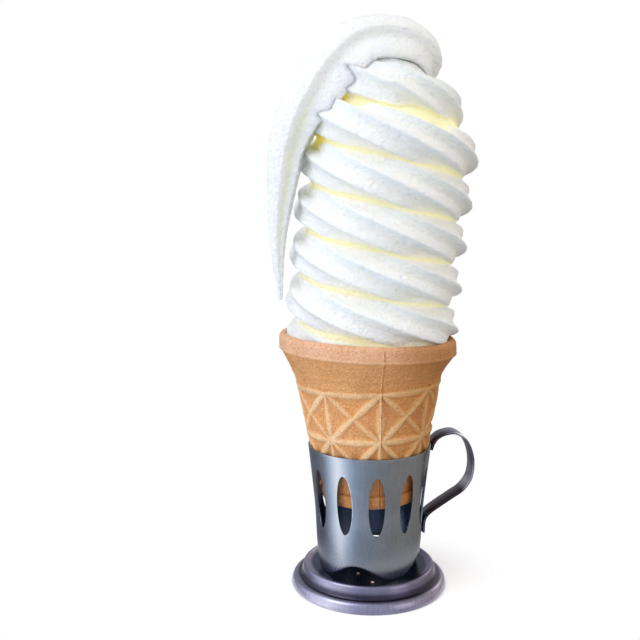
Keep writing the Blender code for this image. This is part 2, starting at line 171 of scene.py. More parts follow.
@dataclass(frozen=True)
class SoftServeFinish:
    """Frozen dairy foam, extruded through a star nozzle: white, matt, and lit from within."""

    name: str = "frozen_dairy_foam"
    roughness: float = 0.5
    ior: float = 1.35  # between ice and milk
    scatter: float = 0.6
    scatter_depth: float = 4.0 * MM
    scatter_colour: Place = (1.0, 0.95, 0.7)  # red travels furthest
    glow: float = 0.2  # painted glow: emission that stands in for light reaching a fold's bottom through the foam
    glow_folds: Span = (0.36, 0.64)
    crystal: float = 0.9 * MM  # ice grains, drawn coarser than the real 0.05 mm, to show at this distance
    pit: float = 1.5 * MM  # pores torn open by the nozzle
    grain_depth: float = 0.75 * MM

    def build(self) -> bpy.types.Material:
        """Cool white skin with an icy grain, and painted light and shade: cream, then yellow at the bottom of
        each fold, with a painted glow there, and painted shade below the crests and in the tail's grooves.

        Returns:
            The material.
        """
        material, shader = blank_material(self.name)
        place = add_node(material, "TexCoord").outputs["Object"]
        fold, tail_shade, groove, crest_shade = (
            add_node(material, "Attribute", attribute_name=name).outputs["Fac"]
            for name in ("fold", "tail_shade", "groove", "crest_shade"))
        # Painted light: milk fat takes the blue out of light that bounces in each fold, so the fold is painted
        # cream, then yellow at its bottom, and a deeper yellow close under the tail.
        open_fold_light = add_node(material, "ValToRGB", {"Fac": fold}, stops=(
            (0.0, "F7F9F8"), (0.3, "FAFBF9"), (0.45, "FCFDF4"), (0.55, "FDFBE6"), (0.64, "FBF4C4")))
        deep_fold_light = add_node(material, "ValToRGB", {"Fac": fold}, stops=(
            (0.0, "F7F9F8"), (0.25, "FAF7D8"), (0.45, "F6E980"), (0.7, "F2DA20"), (1.0, "EED000")))
        fold_light = add_node(material, "Mix", {
            "Factor": tail_shade, 6: open_fold_light.outputs["Color"], 7: deep_fold_light.outputs["Color"]}, **BLEND)
        # Painted shade: a faint cream tint deep in the tail's grooves.
        tail = add_node(material, "ValToRGB", {"Fac": groove}, stops=(
            (0.0, "FFFFFF"), (0.4, "FFFFFD"), (0.7, "FDFEF6"), (1.0, "FAFBEC")))
        smooth = add_node(material, "Mix", {
            "Factor": 1.0, 6: fold_light.outputs[2], 7: tail.outputs["Color"]}, **MULTIPLY)
        # Painted shade: a grey tint just below each crest.
        colour = add_node(material, "Mix", {
            "Factor": crest_shade, 6: smooth.outputs[2], 7: linear("F0F3F5")}, **MULTIPLY)
        crystals = add_node(material, "TexNoise", {
            "Vector": place, "Scale": 1.0 / self.crystal, "Detail": 3.0, "Roughness": 0.6})
        pits = add_node(material, "TexVoronoi", {
            "Vector": place, "Scale": 1.0 / self.pit, "Randomness": 1.0}, feature="SMOOTH_F1")
        grain = add_node(material, "Math", {
            0: crystals.outputs["Fac"], 1: pits.outputs["Distance"]}, operation="ADD")
        bump = add_node(material, "Bump", {
            "Height": grain.outputs[0], "Strength": 1.0, "Distance": self.grain_depth})
        gloss = add_node(material, "MapRange", {
            "Value": crystals.outputs["Fac"], "From Min": 0.35, "From Max": 0.65,
            "To Min": self.roughness - 0.1, "To Max": self.roughness + 0.12})
        # Painted glow: the deeper part of each fold emits its painted light colour.
        glow = add_node(material, "MapRange", {
            "Value": fold, "From Min": self.glow_folds[0], "From Max": self.glow_folds[1], "To Max": self.glow})
        connect(material.node_tree, shader, {
            "Base Color": colour.outputs[2], "Roughness": gloss.outputs[0], "Normal": bump.outputs[0],
            "Emission Color": fold_light.outputs[2], "Emission Strength": glow.outputs[0], "IOR": self.ior,
            "Subsurface Weight": self.scatter, "Subsurface Radius": self.scatter_colour,
            "Subsurface Scale": self.scatter_depth})
        return material


@dataclass(frozen=True)
class WaferFinish:
    """Baked wafer batter, pressed in a steel mould: dry, matt, golden, paler on the raised ribs, partly by
    painted highlight.
    """

    name: str = "baked_wafer"
    roughness: float = 0.62
    ior: float = 1.45
    scatter: float = 0.12
    scatter_depth: float = 1.2 * MM
    pore: float = 0.75 * MM
    pore_depth: float = 0.35 * MM
    blotch: float = 14.0 * MM
    side_shade_span: Span = (-12.0 * MM, 34.0 * MM)  # painted shade, from left to right
    foot_shade_span: Span = (62.0 * MM, 54.0 * MM)  # painted shade, from the waist down

    def build(self) -> bpy.types.Material:
        """Golden brown with paler crests, partly painted highlight, darker toast in the hollows, fine pores and
        dusty specks, and painted shade on the right side and at the foot.

        Returns:
            The material.
        """
        material, shader = blank_material(self.name)
        place = add_node(material, "TexCoord").outputs["Object"]
        relief, band = (add_node(material, "Attribute", attribute_name=name).outputs["Fac"]
                        for name in ("relief", "band"))
        # The mould's crests touch less hot steel and stay pale, and the thin panels toast; the paler crests are
        # partly painted highlight, the paler bead and seam flash are painted highlight, and the darker furrow
        # is painted shade.
        toast_and_highlight = add_node(material, "ValToRGB", {"Fac": relief}, stops=(
            (0.0, "E0A266"), (0.3, "E4A86E"), (0.6, "EAB884"), (1.0, "F4CEA0")))
        neck = add_node(material, "Mix", {
            "Factor": band, 6: toast_and_highlight.outputs["Color"], 7: linear("E6B592")}, **BLEND)
        blotches = add_node(material, "TexNoise", {
            "Vector": place, "Scale": 1.0 / self.blotch, "Detail": 4.0, "Roughness": 0.55})
        tone = add_node(material, "ValToRGB", {"Fac": blotches.outputs["Fac"]}, stops=(
            (0.3, "E8DCCB"), (0.5, "FFFFFF"), (0.7, "FFF3DF")))
        mottled = add_node(material, "Mix", {
            "Factor": 0.8, 6: neck.outputs[2], 7: tone.outputs["Color"]}, **MULTIPLY)
        pores = add_node(material, "TexNoise", {
            "Vector": place, "Scale": 1.0 / self.pore, "Detail": 5.0, "Roughness": 0.7})
        speck = add_node(material, "ValToRGB", {"Fac": pores.outputs["Fac"]}, stops=(
            (0.32, "C89C70"), (0.42, "EEDDC8"), (0.5, "FFFFFF"), (1.0, "FFFFFF")))
        dusted = add_node(material, "Mix", {
            "Factor": 0.8, 6: mottled.outputs[2], 7: speck.outputs["Color"]}, **MULTIPLY)
        # Sugar that melted on the mould leaves tiny pale glints.
        sugar = add_node(material, "MapRange", {
            "Value": pores.outputs["Fac"], "From Min": 0.56, "From Max": 0.66, "To Max": 0.6})
        sugared = add_node(material, "Mix", {
            0: sugar.outputs[0], 6: dusted.outputs[2], 7: linear("FFDDB2")}, **BLEND)
        # Painted shade: the right side is painted browner, for the shade on that side, and so is the foot, for
        # the shade inside the holder.
        where = add_node(material, "SeparateXYZ", {0: place})
        side = add_node(material, "MapRange", {
            "Value": where.outputs["X"], "From Min": self.side_shade_span[0], "From Max": self.side_shade_span[1]},
            **EASED)
        side_shaded = add_node(material, "Mix", {
            0: side.outputs[0], 6: sugared.outputs[2], 7: linear("D0BC90")}, **MULTIPLY)
        foot = add_node(material, "MapRange", {
            "Value": where.outputs["Z"], "From Min": self.foot_shade_span[0], "From Max": self.foot_shade_span[1],
            "To Max": 0.25})
        colour = add_node(material, "Mix", {
            0: foot.outputs[0], 6: side_shaded.outputs[2], 7: linear("C48C58")}, **MULTIPLY)
        bump = add_node(material, "Bump", {
            "Height": pores.outputs["Fac"], "Strength": 0.8, "Distance": self.pore_depth})
        connect(material.node_tree, shader, {
            "Base Color": colour.outputs[2], "Normal": bump.outputs[0], "Roughness": self.roughness,
            "IOR": self.ior, "Subsurface Weight": self.scatter, "Subsurface Scale": self.scatter_depth})
        return material


@dataclass(frozen=True)
class SteelFinish:
    """Stainless steel sheet, brushed and then dulled by washing: soft streaks and cloudy gloss."""

    name: str
    bright: str
    dull: str
    grain: Grain
    roughness: float
    painted_light_by_run: Stops = ()  # painted reflections and shade by the distance run along the profile, in mm
    painted_light_by_place: Stops = ()  # painted reflections and shade by the place along painted_light_axis, in mm
    painted_light_axis: str = "X"
    streak: float = 0.35 * MM  # drawn coarser than the real 0.05 mm, to show at this distance
    streak_depth: float = 0.05 * MM
    cloud: float = 9.0 * MM
    inner_shade: str = "66738A"

    def build(self) -> bpy.types.Material:
        """Streaks along the grain, clouds where the steel is worn, painted reflections and shade, and a metal's
        reflection.

        Returns:
            The material.
        """
        material, shader = blank_material(self.name)
        sheet = add_node(material, "UVMap", uv_map="sheet").outputs["UV"]
        place = add_node(material, "TexCoord").outputs["Object"]
        across, along = self.grain.value
        run = add_node(material, "Mapping", {
            "Vector": sheet, "Scale": (across / self.streak, along / self.streak, 1.0)})
        streaks = add_node(material, "TexNoise", {
            "Vector": run.outputs[0], "Scale": 1.0, "Detail": 3.0, "Roughness": 0.6})
        clouds = add_node(material, "TexNoise", {
            "Vector": place, "Scale": 1.0 / self.cloud, "Detail": 4.0, "Roughness": 0.6})
        mixed = add_node(material, "Mix", {
            "Factor": 0.45, 2: streaks.outputs["Fac"], 3: clouds.outputs["Fac"]}, data_type="FLOAT")
        colour = add_node(material, "ValToRGB", {"Fac": mixed.outputs[0]}, stops=(
            (0.32, self.dull), (0.66, self.bright))).outputs["Color"]
        gloss = add_node(material, "MapRange", {
            "Value": mixed.outputs[0], "From Min": 0.3, "From Max": 0.7,
            "To Min": self.roughness - 0.08, "To Max": self.roughness + 0.1})
        bump = add_node(material, "Bump", {
            "Height": streaks.outputs["Fac"], "Strength": 0.12, "Distance": self.streak_depth})
        down = add_node(material, "Math", {
            0: add_node(material, "SeparateXYZ", {0: sheet}).outputs["Y"], 1: -1.0}, operation="MULTIPLY")
        side = add_node(material, "SeparateXYZ", {0: place}).outputs[self.painted_light_axis]
        # Painted reflections and shade: bright and dark stops along the profile and across the piece,
        # multiplied into the colour.
        for painted_light, distance in ((self.painted_light_by_run, down.outputs[0]), (self.painted_light_by_place, side)):
            if not painted_light:
                continue
            first, last = painted_light[0][0], painted_light[-1][0]
            share = add_node(material, "MapRange", {
                "Value": distance, "From Min": first * MM, "From Max": last * MM})
            worn = add_node(material, "ValToRGB", {"Fac": share.outputs[0]}, stops=tuple(
                ((at - first) / (last - first), code) for at, code in painted_light))
            colour = add_node(material, "Mix", {
                "Factor": 1.0, 6: colour, 7: worn.outputs["Color"]}, **MULTIPLY).outputs[2]
        # Painted shade: the inner face is painted darker, for the shade inside the cup.
        inside = add_node(material, "Attribute", attribute_name="inside").outputs["Fac"]
        colour = add_node(material, "Mix", {"Factor": inside, 6: colour, 7: linear(self.inner_shade)}, **BLEND)
        connect(material.node_tree, shader, {
            "Base Color": colour.outputs[2], "Roughness": gloss.outputs[0], "Normal": bump.outputs[0],
            "Metallic": 1.0})
        return material


@dataclass(frozen=True)
class StudioFloorFinish:
    """Pale seamless paper, lit from behind a little, that melts into the white backdrop further out."""

    name: str = "studio_paper"
    shade: str = "FFFFFF"
    roughness: float = 0.9
    lift: float = 0.18
    fade: Span = (0.03, 0.07)

    def build(self) -> bpy.types.Material:
        """Matt paper that takes soft shadows near the object.

        Returns:
            The material.
        """
        material, shader = blank_material(self.name)
        place = add_node(material, "TexCoord").outputs["Object"]
        reach = add_node(material, "VectorMath", {0: place}, operation="LENGTH")
        fade = add_node(material, "MapRange", {
            "Value": reach.outputs["Value"], "From Min": self.fade[0], "From Max": self.fade[1]}, **EASED)
        connect(material.node_tree, shader, {
            "Base Color": linear(self.shade), "Roughness": self.roughness,
            "Emission Color": linear(self.shade), "Emission Strength": self.lift})
        clear = add_node(material, "BsdfTransparent")
        mixed = add_node(material, "MixShader", {
            0: fade.outputs[0], 1: shader.outputs[0], 2: clear.outputs[0]})
        connect(material.node_tree, material.node_tree.nodes["Material Output"], {"Surface": mixed.outputs[0]})
        return material


# Shapes


def smoothstep(low: float, high: float, value: Numbers | float) -> Numbers | float:
    """Ease from 0 to 1.

    Args:
        low: Where the result is 0, which may be above high.
        high: Where it is 1.
        value: One value or an array.

    Returns:
        The eased share, or an array of them.
    """
    share = np.clip((value - low) / (high - low), 0.0, 1.0)
    return share * share * (3.0 - 2.0 * share)


def bell(value: Numbers, width: float) -> Numbers:
    """Return a bell curve that is 1 at 0 and falls off over a width."""
    return np.exp(-(value / width) ** 2)


def smooth_route(points: list[Vector], steps: int) -> list[Vector]:
    """Run a Catmull-Rom curve through vectors of any size.

    Args:
        points: The vectors that the curve passes through.
        steps: Points for each span between two of them.

    Returns:
        The curve's points, from the first vector to the last.
    """
    knots = [points[0] * 2 - points[1], *points, points[-1] * 2 - points[-2]]
    route = []
    for before, start, end, after in zip(knots, knots[1:], knots[2:], knots[3:]):
        for step in range(steps):
            t = step / steps
            route.append(0.5 * (
                2.0 * start + (end - before) * t
                + (2.0 * before - 5.0 * start + 4.0 * end - after) * t * t
                + (3.0 * start - before - 3.0 * end + after) * t * t * t
            ))
    route.append(points[-1])
    return route


def fine_outline(outline: Outline, steps: int) -> Numbers:
    """Smooth a coarse (radius, height) outline in mm.

    Args:
        outline: Radius and height pairs, in mm.
        steps: Points for each span.

    Returns:
        An array of radius and height pairs, in metres.
    """
    route = smooth_route([Vector(pair) * MM for pair in outline], steps)
    return np.array([tuple(point) for point in route])


def run_along(points: Numbers) -> Numbers:
    """Return the distance run to each row of points from the first."""
    return np.concatenate([[0.0], np.cumsum(np.linalg.norm(np.diff(points, axis=0), axis=1))])


def about_axis(radius: Numbers, azimuths: Numbers, height: Numbers) -> Numbers:
    """Place points about the upright axis.

    Args:
        radius: Distance from the axis.
        azimuths: Angles from the front to the right, in radians.
        height: Height; all three are arrays that fit together.

    Returns:
        An array whose last axis holds x, y and z.
    """
    radius, azimuths, height = np.broadcast_arrays(radius, azimuths, height)
    return np.stack([radius * np.sin(azimuths), -radius * np.cos(azimuths), height], axis=-1)


def sheet_grid(name: str, points: Numbers, lengths: tuple[Numbers, Numbers]) -> bpy.types.Object:
    """Make a tube from a grid of points, with its unrolled size in a UV map named sheet.

    Args:
        name: The object's name.
        points: Array of rows, columns and 3 coordinates; rows run down and columns to the right, seen from
            outside, and the last column joins the first.
        lengths: The u of each column and the v of each row, in metres.

    Returns:
        The object.
    """
    rows, columns = points.shape[:2]
    row, column = np.mgrid[0:rows - 1, 0:columns]
    right = (column + 1) % columns
    corners = np.stack([row * columns + column, (row + 1) * columns + column,
                        (row + 1) * columns + right, row * columns + right], axis=-1).reshape(-1, 4)
    mesh = bpy.data.meshes.new(name)
    mesh.vertices.add(rows * columns)
    mesh.vertices.foreach_set("co", points.astype(np.float32).ravel())
    mesh.loops.add(corners.size)
    mesh.loops.foreach_set("vertex_index", corners.astype(np.int32).ravel())
    mesh.polygons.add(len(corners))
    mesh.polygons.foreach_set("loop_start", np.arange(0, corners.size, 4, dtype=np.int32))
    mesh.update(calc_edges=True)
    u, v = lengths
    u_next = np.append(u[1:], u[-1] + u[1] - u[0])
    layer = mesh.uv_layers.new(name="sheet")
    faces = np.stack([
        np.stack([u[column], v[row]], -1), np.stack([u[column], v[row + 1]], -1),
        np.stack([u_next[column], v[row + 1]], -1), np.stack([u_next[column], v[row]], -1)], axis=2)
    layer.data.foreach_set("uv", faces.astype(np.float32).ravel())
    made = bpy.data.objects.new(name, mesh)
    bpy.context.scene.collection.objects.link(made)
    return made


def turned(name: str, outline: Numbers, azimuths: Numbers) -> bpy.types.Object:
    """Turn an outline about the upright axis.

    Args:
        name: The object's name.
        outline: Radius and height pairs that run down the outer side, in metres.
        azimuths: Angles of the columns from the front to the right, in radians.

    Returns:
        An open surface that faces out.
    """
    points = about_axis(outline[:, 0:1], azimuths, outline[:, 1:2])
    return sheet_grid(name, points, (azimuths * outline[:, 0].mean(), -run_along(outline)))


def object_from(body: bmesh.types.BMesh, name: str,
                group: bpy.types.Collection | None = None) -> bpy.types.Object:
    """Turn a finished bmesh into an object and free it.

    Args:
        body: The bmesh.
        name: The object's name.
        group: The collection that takes it, or None for the scene's own.

    Returns:
        The object.
    """
    mesh = bpy.data.meshes.new(name)
    body.to_mesh(mesh)
    body.free()
    made = bpy.data.objects.new(name, mesh)
    (group or bpy.context.scene.collection).objects.link(made)
    return made


def skin_rings(body: bmesh.types.BMesh, rings: list[list[bmesh.types.BMVert]]) -> None:
    """Cover a row of rings with faces and close both ends.

    Args:
        body: The bmesh that holds them.
        rings: Rings of points, all with the same number.
    """
    sides = len(rings[0])
    faces = []
    for lower, upper in zip(rings, rings[1:]):
        for i in range(sides):
            j = (i + 1) % sides
            faces.append(body.faces.new((lower[i], lower[j], upper[j], upper[i])))
    faces.append(body.faces.new(tuple(reversed(rings[0]))))
    faces.append(body.faces.new(tuple(rings[-1])))
    bmesh.ops.recalc_face_normals(body, faces=faces)


def close_ends(made: bpy.types.Object, columns: int) -> None:
    """Close the first and last row of a tube with one face each.

    Args:
        made: An object that sheet_grid made.
        columns: Its points in a row.
    """
    body = bmesh.new()
    body.from_mesh(made.data)
    points = list(body.verts)
    body.faces.new(points[:columns])
    body.faces.new(points[:-columns - 1:-1])
    bmesh.ops.recalc_face_normals(body, faces=body.faces)
    body.to_mesh(made.data)
    body.free()


def modify(made: bpy.types.Object, kind: str, **settings: object) -> None:
    """Put a modifier's result in place of an object's mesh.

    Args:
        made: The object.
        kind: The modifier's type.
        **settings: Its settings.
    """
    modifier = made.modifiers.new(kind.lower(), kind)
    for name, value in settings.items():
        setattr(modifier, name, value)
    bpy.context.view_layer.update()
    evaluated = made.evaluated_get(bpy.context.evaluated_depsgraph_get())
    mesh = bpy.data.meshes.new_from_object(evaluated)
    made.modifiers.clear()
    made.data = mesh


def shade(made: bpy.types.Object, sharp: float = 40.0) -> None:
    """Shade smoothly, with edges sharper than an angle in degrees left sharp."""
    made.data.shade_smooth()
    made.data.set_sharp_from_angle(angle=math.radians(sharp))


def point_attribute(mesh: bpy.types.Mesh, name: str, values: Numbers) -> None:
    """Store a number for each point."""
    layer = mesh.attributes.new(name, "FLOAT", "POINT")
    layer.data.foreach_set("value", values.astype(np.float32))


def read_points(mesh: bpy.types.Mesh, name: str = "co") -> Numbers:
    """Read the places or normals of a mesh's points.

    Args:
        mesh: The mesh.
        name: "co" for places, "normal" for normals.

    Returns:
        An array with a row for each point.
    """
    flat = np.empty(len(mesh.vertices) * 3, np.float32)
    mesh.vertices.foreach_get(name, flat)
    return flat.reshape(-1, 3).astype(float)


def write_points(mesh: bpy.types.Mesh, points: Numbers) -> None:
    """Move a mesh's points to the given places."""
    mesh.vertices.foreach_set("co", points.astype(np.float32).ravel())
    mesh.update()


def finish_piece(made: bpy.types.Object, finish: object, node: str, axis_x: float,
                 instead: bool = True) -> None:
    """Dress a piece, stand it on the holder's axis, hang it on the root body and hide the node that it
    replaces.

    Args:
        made: The piece, modelled about the holder's axis.
        finish: Its finish.
        node: The node that it belongs to.
        axis_x: Where the holder's axis stands.
        instead: Whether it takes the node's place.
    """
    made.data.transform(Matrix.Translation((axis_x, 0.0, 0.0)))
    made.data.materials.clear()
    made.data.materials.append(finish.build())
    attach(made, "root")
    if instead:
        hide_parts(node)
    LOG.info("%s: %d points, %d faces", made.name, len(made.data.vertices), len(made.data.polygons))


# The wafer cone


@dataclass
class WaferCone:
    """Moulded wafer cone with a flared mouth, a rim band and crossed lattice ribs."""

    wall: float = 2.6 * MM
    panel_depth: float = 0.75 * MM  # how far the inside steps in behind the lattice
    panel_z: float = 93.0 * MM
    neck: Outline = (
        (35.3, 112.2), (36.3, 112.4), (37.4, 112.0), (38.1, 110.8), (38.25, 108.4), (38.1, 106.2),
        (37.2, 104.8), (35.3, 101.6), (33.4, 98.4), (31.9, 95.0), (31.3, 91.6),
    )
    waist: Span = (27.6, 70.9)
    lattice_foot: Span = (23.4, 50.2)
    foot: Outline = ((21.5, 42.0), (20.9, 40.6))
    inner_heights: tuple[float, ...] = (110.2, 106.0, 102.0, 98.0, 93.5, 84.0, 71.0, 57.0, 47.0, 43.6)  # mm
    lean: float = -1.5
    lean_height: float = 63.7 * MM
    dip: float = 0.062
    dip_span: Span = (93.0 * MM, 108.0 * MM)
    cells: int = 8
    rib_height: float = 1.1 * MM
    edge_height: float = 0.25 * MM  # of the rib that borders the lattice, on its neck side
    upright_width: Span = (0.7, 1.9)  # mm at a crossing, and more between crossings
    level_width: Span = (1.1, 1.3)
    rising_width: float = 1.85
    falling_width: float = 1.45
    rib_shares: tuple[float, float, float, float] = (0.9, 0.95, 1.0, 0.75)  # upright, level, rising, falling
    seam_azimuth: float = 6.5
    seam_flash: Span = (0.55 * MM, 0.2 * MM)  # height and width
    seam_furrow: Span = (0.35 * MM, 0.25 * MM)
    bead: tuple[float, float, float] = (105.9 * MM, 0.4 * MM, 0.45 * MM)  # z, height and width
    faint_line: tuple[float, float, float] = (97.6 * MM, 0.22 * MM, 0.7 * MM)
    grain_height: float = 0.09 * MM
    columns: int = 430
    seam_columns: int = 25
    rows_per_mm: float = 2.5

    def settle(self, points: Numbers) -> Numbers:
        """Lean the cone in its holder and let its rim dip to the right.

        Args:
            points: Array whose last axis holds x, y and z.

        Returns:
            The moved points.
        """
        x, y, z = points[..., 0], points[..., 1], points[..., 2]
        z = z - self.dip * x * smoothstep(*self.dip_span, z) - self.lean_height
        cos, sin = math.cos(math.radians(self.lean)), math.sin(math.radians(self.lean))
        return np.stack([cos * x + sin * z, y, -sin * x + cos * z + self.lean_height], axis=-1)

    def unsettle(self, points: Numbers) -> Numbers:
        """Undo settle, closely enough for a thin wall's distance.

        Args:
            points: Array whose last axis holds x, y and z.

        Returns:
            The points as they were before the cone leaned and dipped.
        """
        cos, sin = math.cos(math.radians(self.lean)), math.sin(math.radians(self.lean))
        x, y, z = points[..., 0], points[..., 1], points[..., 2] - self.lean_height
        x, z = cos * x - sin * z, sin * x + cos * z + self.lean_height
        return np.stack([x, y, z + self.dip * x * smoothstep(*self.dip_span, z)], axis=-1)

    def hollow(self, height: Numbers) -> Numbers:
        """Return the radius of the cone's inside at each height, before it settles."""
        outer = np.array([*reversed(self.foot), self.lattice_foot, self.waist, *self.neck[:2:-1]]) * MM
        radius = np.interp(height, outer[:, 1], outer[:, 0])
        return radius - self.wall - self.panel_depth * (height < self.panel_z)

    def crest(self) -> Numbers:
        """Outer outline on the crests, from the inner lip down to the foot.

        Returns:
            Radius and height pairs, in metres, evenly spaced.
        """
        below = np.array([self.waist, self.lattice_foot, *self.foot]) * MM
        coarse = np.vstack([fine_outline(self.neck, 8), below])
        run = run_along(coarse)
        even = np.linspace(0.0, run[-1], round(run[-1] / MM * self.rows_per_mm))
        return np.stack([np.interp(even, run, coarse[:, i]) for i in (0, 1)], axis=-1)

    def azimuths(self) -> Numbers:
        """Angles of the columns, closer together by the seam.

        Returns:
            Radians from the front to the right, in order.
        """
        seam = math.radians(self.seam_azimuth)
        even = np.linspace(seam, seam + 2.0 * math.pi, self.columns, endpoint=False)
        near = seam + np.linspace(-1.5, 1.5, self.seam_columns) * MM / 0.033
        columns = np.concatenate([even, near[near >= seam], near[near < seam] + 2.0 * math.pi])
        return np.unique(np.round(columns, 6))

    def ribs(self, azimuth: Numbers, height: Numbers, radius: Numbers) -> Numbers:
        """Height of the lattice ribs over the panels, as a share of the full rib.

        Args:
            azimuth: Degrees from the front, per column.
            height: Metres, per row.
            radius: Metres, per row.

        Returns:
            An array of rows and columns.
        """
        top, middle, foot = self.neck[-1][1] * MM, self.waist[1] * MM, self.lattice_foot[1] * MM
        row = np.interp(-height, [-top, -middle, -foot], [0.0, 1.0, 2.0])[:, None]
        cell_height = (top - foot) / 2.0
        cell_width = (2.0 * math.pi * radius / self.cells)[:, None]
        u = ((azimuth - self.seam_azimuth) / 360.0 * self.cells)[None, :]
        across, down = u - np.floor(u), row - np.floor(np.clip(row, 0.0, 1.999))
        slant = cell_width * cell_height / np.hypot(cell_width, cell_height)
        thin, more = self.upright_width
        upright_width = (thin + more * np.sin(math.pi * np.clip(down, 0.0, 1.0) ** 1.25) ** 1.2) * MM
        thin, more = self.level_width
        level_width = (thin + more * np.sin(math.pi * across) ** 0.8) * MM
        spread = (0.75 + 0.55 * np.abs(np.sin(2.0 * math.pi * across))) * MM
        upright = np.minimum(across, 1.0 - across) * cell_width / upright_width
        level = np.minimum(np.abs(down), np.abs(1.0 - down)) * cell_height / level_width
        rising = np.abs(across + down - 1.0) * slant / (self.rising_width * spread)
        falling = np.abs(across - down) * slant / (self.falling_width * spread)
        border = np.abs(height[:, None] - top) / level_width
        upright, level, rising, falling, border = (
            share * (1.0 - smoothstep(0.25, 1.0, reach)) for share, reach in zip(
                (*self.rib_shares, self.rib_shares[1]), (upright, level, rising, falling, border)))
        shape = np.maximum.reduce([upright, level, rising, falling])
        shape = shape * smoothstep(50.0 * MM, 60.0 * MM, height)[:, None]
        return np.where((row > 0.0) & (row < 2.0), shape, np.where(row <= 0.0, border, 0.0))

    def grain(self, azimuth: Numbers, height: Numbers) -> Numbers:
        """Fine unevenness of the baked skin.

        Args:
            azimuth: Radians, per column.
            height: Metres, per row.

        Returns:
            An array of rows and columns, about -1 to 1.
        """
        reach = 32.0  # mm, about the cone's own radius
        return np.array([[noise.noise(Vector((math.sin(a) * reach, math.cos(a) * reach, z / MM)) * 0.9)
                          + 0.6 * noise.noise(Vector((math.sin(a) * reach, math.cos(a) * reach, z / MM)) * 2.1)
                          for a in azimuth] for z in height])

    def seam(self, azimuth: Numbers, height: Numbers, radius: Numbers) -> tuple[Numbers, Numbers]:
        """The line of flash where the mould's halves met, and the furrow beside it.

        Args:
            azimuth: Radians, per column.
            height: Metres, per row.
            radius: Metres, per row.

        Returns:
            The flash and the furrow, each as a share of its height, in rows and columns.
        """
        seam = math.radians(self.seam_azimuth)
        aside = ((azimuth - seam + math.pi) % (2.0 * math.pi) - math.pi)[None, :] * radius[:, None]
        notch = np.array([0.55 + 0.9 * noise.noise(Vector((3.0, 7.0, z / MM * 0.75))) for z in height])[:, None]
        wander = np.array([0.14 * MM * noise.noise(Vector((9.0, 1.0, z / MM * 0.25))) for z in height])[:, None]
        visible = smoothstep(111.6 * MM, 110.6 * MM, height)[:, None]
        flash = bell(aside - wander, self.seam_flash[1]) * np.clip(notch, 0.1, 1.2)
        furrow = bell(aside - wander - 0.55 * MM, self.seam_furrow[1])
        return visible * flash, visible * furrow

    def build(self) -> bpy.types.Object:
        """Mould the cone.

        Returns:
            The cone as one closed mesh with attributes relief and band.
        """
        radius, height = self.crest().T
        azimuth = self.azimuths()
        top = self.neck[-1][1] * MM
        on_neck = (height > top)[:, None]
        share = self.ribs(np.degrees(azimuth), height, radius)
        panel = smoothstep(top + 2.2 * MM, top + 0.4 * MM, height)[:, None] * (height > 46.0 * MM)[:, None]
        flash, furrow = self.seam(azimuth, height, radius)
        bead, faint = (bell(height - z, width)[:, None] for z, _, width in (self.bead, self.faint_line))
        relief = panel * (share - 1.0) * self.rib_height + on_neck * share * self.edge_height
        relief = relief + bead * self.bead[1] + faint * self.faint_line[1]
        relief = relief + self.grain(azimuth, height) * self.grain_height
        relief = relief + flash * self.seam_flash[0] - furrow * self.seam_furrow[0]
        outer = about_axis(radius[:, None] + relief, azimuth, height[:, None])
        inner_heights = np.array(self.inner_heights) * MM
        inner = about_axis(self.hollow(inner_heights)[:, None], azimuth, inner_heights[:, None])
        row_height = MM / self.rows_per_mm
        outer_run = inner_heights[0] + np.arange(1, len(height) + 1) * row_height
        run = np.concatenate([inner_heights[::-1], outer_run])
        made = sheet_grid("moulded_wafer_cone", self.settle(np.concatenate([inner[::-1], outer])),
                          (azimuth * 30.0 * MM, -run))
        # Painted highlight and shade, partly real: the ribs' crests are paler, partly as real paler toast and
        # partly as painted highlight; the bead and the seam's flash carry painted highlight, and the furrow
        # beside the flash painted shade.
        pale = panel * share + on_neck * (1.0 - panel) * 0.15 + bead * 0.8 + flash * 0.9 - furrow * 0.5
        hidden = np.zeros((len(inner), len(azimuth)))
        band = np.repeat(smoothstep(105.2 * MM, 106.4 * MM, height)[:, None], len(azimuth), axis=1)
        point_attribute(made.data, "relief", np.concatenate([hidden, np.clip(pale, 0.0, 1.0)]).ravel())
        point_attribute(made.data, "band", np.concatenate([hidden, band]).ravel())
        close_ends(made, len(azimuth))
        shade(made, 50.0)
        return made

    def dress(self, made: bpy.types.Object, axis_x: float) -> None:
        """Give the cone its baked skin."""
        finish_piece(made, WaferFinish(), "wafer_cone", axis_x)


# The soft serve


